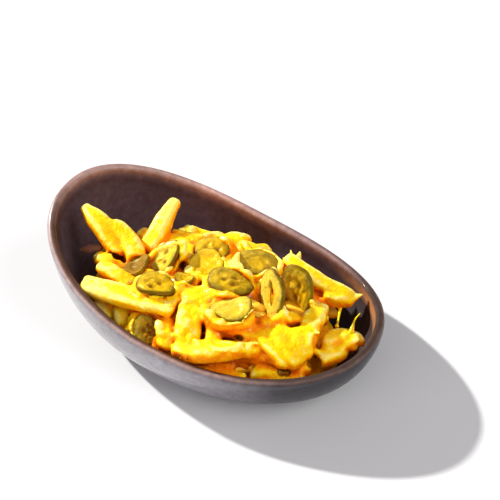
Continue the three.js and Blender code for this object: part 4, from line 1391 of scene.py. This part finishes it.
# ------------------------------------------------------------------ chilli slices
def make_slice(name, row, seed):
    """A cut slice: a rim of flesh with its skin outside, and a lower middle with ribs and seeds."""
    rng = np.random.default_rng(seed)
    a, b, h, hole, ribs, pale = row[6:12]
    olive, slot, dim = LOOKS[name]
    h = h * 0.76
    around, radial = 84, 22
    phi = np.linspace(0, 2 * math.pi, around, endpoint=False)
    lobes = (
        0.955
        + 0.042 * np.cos(3 * phi + rng.uniform(0, 6))
        + 0.030 * np.cos(2 * phi + rng.uniform(0, 6))
        + 0.014 * np.cos(5 * phi + rng.uniform(0, 6))
    )
    start = 0 * phi
    if slot:  # a long narrow opening
        start = 1 / np.sqrt((np.cos(phi) / (2.9 * slot)) ** 2 + (np.sin(phi) / slot) ** 2)
        start = start * (1 + 0.05 * np.cos(3 * phi + 1.0))
    rng.uniform(0, 6)
    inner = hole * (1 + 0.12 * np.cos(3 * phi + rng.uniform(0, 6)) + 0.06 * np.cos(5 * phi + rng.uniform(0, 6)))
    turn, sag = rng.uniform(0, 6.28), rng.uniform(-1.9, 1.9, 3) * (0.4 if slot else 1.0)
    seeds = []
    for _ in range(int(rng.integers(3, 7)) if ribs else 0):
        an, rr = rng.uniform(0, 6.28), rng.uniform(0.15, 0.8) * hole
        seeds.append((rr * math.cos(an), rr * math.sin(an)))
    hollows = []
    for i in range(ribs):
        an = turn + (i + 0.5) * 2 * math.pi / ribs
        rr = rng.uniform(0.5, 0.62) * hole
        hollows.append((rr * math.cos(an), rr * math.sin(an), rng.uniform(0.11, 0.2)))

    def relief(x, y, rho, side):
        """Height over the middle plane as a share of the half thickness, and how pale, how deep."""
        t = np.clip((rho - inner * 0.8) / (inner * 0.45 + 1e-6), 0, 1)
        wallish = t * t * (3 - 2 * t)
        z = 0.55 + 0.42 * wallish
        for i in range(ribs):
            an = turn + i * 2 * math.pi / ribs
            across = np.abs(-x * math.sin(an) + y * math.cos(an))
            along = x * math.cos(an) + y * math.sin(an)
            z = z + 0.2 * np.exp(-((across / 0.09) ** 2)) * (along > -0.03) * (1 - wallish)
        light = (0.32 if slot else 0.10) * wallish + 0 * x
        for sx, sy in seeds:
            g = np.exp(-(((x - sx) / 0.10) ** 2 + ((y - sy) / 0.12) ** 2) ** 1.5)
            z, light = z + 0.26 * g * (1 - wallish), light + 0.35 * g
        deep = 0 * x
        # the hollows dip, and their darkening is painted shade
        for sx, sy, w in hollows:
            g = np.exp(-(((x - sx) / w) ** 2 + ((y - sy) / w) ** 2) ** 1.3)
            z, deep = z - 0.36 * g * (1 - wallish), deep + g * (1 - wallish)
        z = z + 0.13 * np.sin(4.3 * x + seed + side) * np.cos(3.9 * y - seed)
        z = z + 0.07 * np.sin(9 * x + seed + side) * np.cos(8 * y - seed) + 0.05 * np.sin(17 * y + 11 * x)
        dip = np.clip((rho - 0.86) / 0.14, 0, 1)
        return np.clip(z, 0.06, 1.0) * np.sqrt(np.clip(1 - 0.55 * dip**2, 0, 1)), light, np.clip(deep, 0, 1)

    rows, skin, lights, deeps, rings = [], [], [], [], []

    def add(frac, sign, skinny):
        """One ring; frac 0..1 from the middle, or the slot's edge, out to the skin."""
        rho = start + (1 - start) * frac
        x, y = rho * np.cos(phi), rho * np.sin(phi)
        z, light, deep = relief(x, y, rho, sign)
        if slot:
            lip = np.clip(frac / 0.12, 0, 1)
            z = z * np.sqrt(np.clip(1 - (1 - lip) ** 2, 0.05, 1))
        zz = sign * z * h / 2
        X, Y = a * lobes * x, b * lobes * y
        warp = sag[0] * (x * x - 0.3) + sag[1] * (y * y - 0.3) + sag[2] * x * y
        rows.append(np.stack([X, Y, zz + warp], -1))
        skin.append(np.clip((rho - 0.90) / 0.08, 0, 1) * skinny)
        lights.append(light)
        deeps.append(deep)
        edge_line = np.exp(-(((rho - inner) / 0.06) ** 2))
        rings.append(np.clip((rho - 0.55) / 0.4, 0, 1) + 0.35 * edge_line)

    lowest = 0.0 if slot else 0.5 / radial
    ease = lambda i: lowest + (1 - lowest) * (i / radial) ** 0.85
    for i in range(radial + 1):
        add(ease(i), 1.0, 1.0)
    edge = rows[-1]
    for zf in (0.45, 0.0, -0.45):  # the skin's side
        q = edge.copy()
        bulge = 1 + 0.03 * (1 - (zf / 0.6) ** 2)
        q[:, 0] *= bulge
        q[:, 1] *= bulge
        q[:, 2] = edge[:, 2] * 0 + zf * h / 2 * 0.62 + (edge[:, 2] - np.abs(edge[:, 2] * 0) - 0) * 0
        q[:, 2] += sag[0] * (np.cos(phi) ** 2 - 0.3) + sag[1] * (np.sin(phi) ** 2 - 0.3)
        q[:, 2] += sag[2] * np.cos(phi) * np.sin(phi)
        rows.append(q)
        skin.append(np.ones(around))
        lights.append(np.zeros(around))
        deeps.append(np.zeros(around))
        rings.append(np.ones(around))
    for i in range(radial, -1, -1):
        add(ease(i), -1.0, 1.0)
    n = len(rows)
    co = [np.array(rows).reshape(-1, 3)]
    faces = [q[::-1] for q in grid_faces(n, around)]
    extra = 0
    if slot:
        last = (n - 1) * around
        faces += [[last + j, last + (j + 1) % around, (j + 1) % around, j] for j in range(around)]
        faces = [q for q in faces]
    else:
        co.append(np.array([rows[0].mean(0), rows[-1].mean(0)]))
        k = n * around
        last = (n - 1) * around
        faces += [[k, j, (j + 1) % around] for j in range(around)]
        faces += [[k + 1, last + (j + 1) % around, last + j] for j in range(around)]
        extra = 2
    pad = lambda v: np.concatenate([np.concatenate(v), np.full(extra, np.concatenate(v)[0])])
    count = n * around + extra
    p = np.concatenate(co) @ slice_axes(row).T + np.array(row[:3])
    return new_object(
        name.replace("chilli_slice", "chilli"),
        p,
        faces,
        CHILLI,
        True,
        {
            "skin": pad(skin),
            "pale": np.clip(pad(lights) + pale * 0.6, 0, 1),
    "deep": np.clip(pad(deeps) + dim, 0, 1),
            "olive": np.clip(olive + 0.85 * (pad(rings) - 0.5), -0.6, 1.4),
            # painted shade: how far a point lies towards the slice's shaded side
            "shade": (p - np.array(row[:3])) @ to_row((0.72, -0.69, 0.0)) / b,
        },
    )


# Cheese that ran over a slice: the slice, where on its face as shares of its half-widths, and radius.
DRIPS = [
    ("chilli_slice_06", -0.85, -0.65, 3.6),
    ("chilli_slice_04", -0.85, -0.55, 2.8),
]
# Threads, points and ridges of cheese: two ends, radius, tone, and how much it thins to its end.
STRANDS = [
    (73.0, 27.0, 35.0, 80.5, 34.0, 38.0, 2.3, 0.1, 0.8),
    (32.0, 31.5, 41.0, 28.2, 37.2, 44.8, 2.4, 0.0, 0.8),
    (36.0, 31.0, 41.0, 34.2, 37.8, 45.2, 2.6, 0.0, 0.8),
    (33.0, 27.0, 41.0, 27.0, 30.5, 43.0, 2.6, 0.0, 0.7),
    (86.0, -3.5, 36.0, 90.5, 1.5, 38.5, 2.2, 0.1, 0.8),
    (2.5, -30.0, 51.4, 5.4, -43.0, 47.0, 0.9, -0.2, 0.1),
    (5.4, -43.0, 47.0, 7.2, -51.5, 42.8, 0.8, -0.2, 0.3),
    (6.5, -31.0, 50.4, 10.0, -48.0, 44.2, 0.9, -0.1, 0.2),
    (14.0, -50.5, 41.4, 30.0, -44.5, 44.6, 1.0, -0.2, 0.1),
    (30.0, -44.5, 44.6, 47.0, -37.2, 46.2, 0.9, -0.1, 0.4),
]
# Thin threads of cheese: points along each with the radius there.
THREADS = [
    [(69.5, 23.5, 31.5, 1.5), (71.5, 18.5, 32.0, 0.8), (74.5, 10.5, 34.0, 0.5), (76.5, 5.0, 37.0, 0.75), (77.0, 3.5, 38.0, 1.2)],
    [(87.0, 2.5, 35.5, 1.6), (86.2, 5.0, 38.0, 0.8), (84.8, 8.4, 41.0, 0.55), (85.4, 10.4, 43.4, 0.42), (86.6, 12.5, 45.5, 0.2)],
    [(85.6, 2.0, 37.5, 1.2), (85.2, 5.6, 40.0, 0.6), (84.8, 8.4, 41.2, 0.45)],
]
# Hollows between the fries, darkened inside as painted shade: where each opens, its radius and depth.
PITS = [
    (14.3, -35.7, 40.4, 2.3, 7.0),
    (13.3, -37.7, 40.4, 2.0, 7.0),
    (37.4, -36.4, 45.2, 1.5, 6.0),
    (35.6, -36.9, 45.2, 1.2, 5.0),
    (-28.6, -45.6, 33.5, 2.2, 7.0),
    (-57.1, -18.7, 45.0, 2.5, 8.0),
    (-60.4, -18.2, 45.0, 1.9, 7.0),
    (64.7, -38.5, 34.3, 2.2, 5.0),
    (67.5, -37.3, 34.3, 1.9, 5.0),
    (78.5, -21.5, 32.9, 2.4, 6.0),
    (75.5, -24.5, 32.9, 2.0, 6.0),
    (-22.4, -3.0, 49.5, 2.2, 6.0),
    (-16.6, -9.0, 49.5, 2.4, 6.0),
    (-11.6, -15.8, 50.0, 2.2, 6.0),
    (-10.8, -29.7, 50.0, 1.8, 5.0),
    (24.9, 16.0, 48.5, 1.9, 5.0),
    (29.7, 15.6, 48.0, 1.9, 5.0),
    (45.6, -0.1, 46.0, 1.6, 5.0),
    (49.7, -6.4, 46.0, 1.5, 5.0),
]
# Separate lumps of melted cheese: centre and radius.
LUMPS = [
    (77.0, -8.6, 37.6, 1.9),
    (83.0, -2.0, 38.4, 1.6),
    (87.5, 3.6, 37.2, 1.7),
    (78.5, -16.0, 35.4, 1.9),
    (84.4, -7.5, 35.8, 1.5),
    (80.5, -12.5, 36.8, 1.6),
    (74.5, -17.5, 36.6, 1.5),
    (88.6, -1.5, 34.0, 1.5),
]
# which way those hollows run: down and towards the back of the bowl
VIEW = np.array([-0.351, 0.611, -0.710])

HEAP = {k: Fry(v) for k, v in FRIES.items()}
CHILLI = None


# ------------------------------------------------------------------ stage
PHI = math.radians(-29.87)
PLACE = (-19.75, -62.65)
ELEVATION = math.radians(45.2)
DISTANCE = 743.2


def to_row(v, point=False):
    """A vector, or a point, of the photograph's upright frame in the row frame."""
    x, y, z = v
    if point:
        x, y = x - PLACE[0], y - PLACE[1]
    c, s = math.cos(PHI), math.sin(PHI)
    return np.array([x * c + y * s, -x * s + y * c, z])


def make_stage():
    eye = np.array([0, -DISTANCE * math.cos(ELEVATION), DISTANCE * math.sin(ELEVATION)])
    back = eye / np.linalg.norm(eye)
    right = np.array([1.0, 0, 0])
    up = np.cross(back, right)
    cam = bpy.data.cameras.new("camera")
    cam.sensor_width = 36.0
    cam.lens = 1152.8 / 500 * 36.0
    cam.clip_start, cam.clip_end = 0.05, 20
    c = bpy.data.objects.new("camera", cam)
    bpy.context.scene.collection.objects.link(c)
    m = np.eye(4)
    m[:3, 0], m[:3, 1], m[:3, 2] = to_row(right), to_row(up), to_row(back)
    m[:3, 3] = to_row(eye, True) * MM
    from mathutils import Matrix

    c.matrix_world = Matrix(m.tolist())
    bpy.context.scene.camera = c

    size = 4.0
    floor = new_object(
        "floor",
        np.array([[-1, -1, 0], [1, -1, 0], [1, 1, 0], [-1, 1, 0]]) * size / MM,
        [[0, 1, 2, 3]],
        floor_material(),
        False,
    )

    world = bpy.data.worlds.new("studio")
    bpy.context.scene.world = world
    world.use_nodes = True
    bg = world.node_tree.nodes["Background"]
    bg.inputs[0].default_value = (0.98, 0.95, 1.0, 1)
    bg.inputs[1].default_value = 0.34

    sun = bpy.data.lights.new("key", "SUN")
    sun.energy = 6.9
    sun.angle = math.radians(2.3)
    sun.color = (1.0, 0.985, 0.96)
    s = bpy.data.objects.new("key", sun)
    bpy.context.scene.collection.objects.link(s)
    travel = to_row((1.38, -0.93, -1.0))
    s.rotation_mode = "QUATERNION"
    from mathutils import Vector

    s.rotation_quaternion = Vector(travel.tolist()).to_track_quat("-Z", "Y")
    s.location = (-0.6, 0.1, 0.6)

    # a wide soft light from the right fills the shadow, and a weaker one the left in front
    for name, energy, angle, way, at in (
        ("fill", 1.7, 40, (-0.72, 0.24, -0.64), (0.6, 0.1, 0.6)),
        ("side", 1.2, 45, (0.8, 0.55, -0.25), (-0.4, -0.6, 0.5)),
        ("front", 0.3, 60, (-0.1, 0.6, -0.8), (0.1, -0.6, 0.7)),
    ):
        light = bpy.data.lights.new(name, "SUN")
        light.energy = energy
        light.angle = math.radians(angle)
        light.color = (1.0, 0.985, 0.985)
        f = bpy.data.objects.new(name, light)
        bpy.context.scene.collection.objects.link(f)
        f.rotation_mode = "QUATERNION"
        f.rotation_quaternion = Vector(to_row(way).tolist()).to_track_quat("-Z", "Y")
        f.location = at

    view = bpy.context.scene.view_settings
    view.view_transform = "Standard"
    view.look = "None"
    view.exposure = 0.0
    view.gamma = 1.0


# ------------------------------------------------------------------ build
make_stage()
bowl = make_bowl()
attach(bowl, "root")
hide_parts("bowl")

core = make_core()
fries = make_fries(filler_fries())
cheese = make_cheese()
threads = make_threads()
for piece in (core, fries, cheese, threads):
    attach(piece, "root")
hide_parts("fries_heap")

CHILLI = chilli_material()
for number, (name, row) in enumerate(SLICES.items()):
    piece = make_slice(name, row, 100 + number)
    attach(piece, "root")
    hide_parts(name)
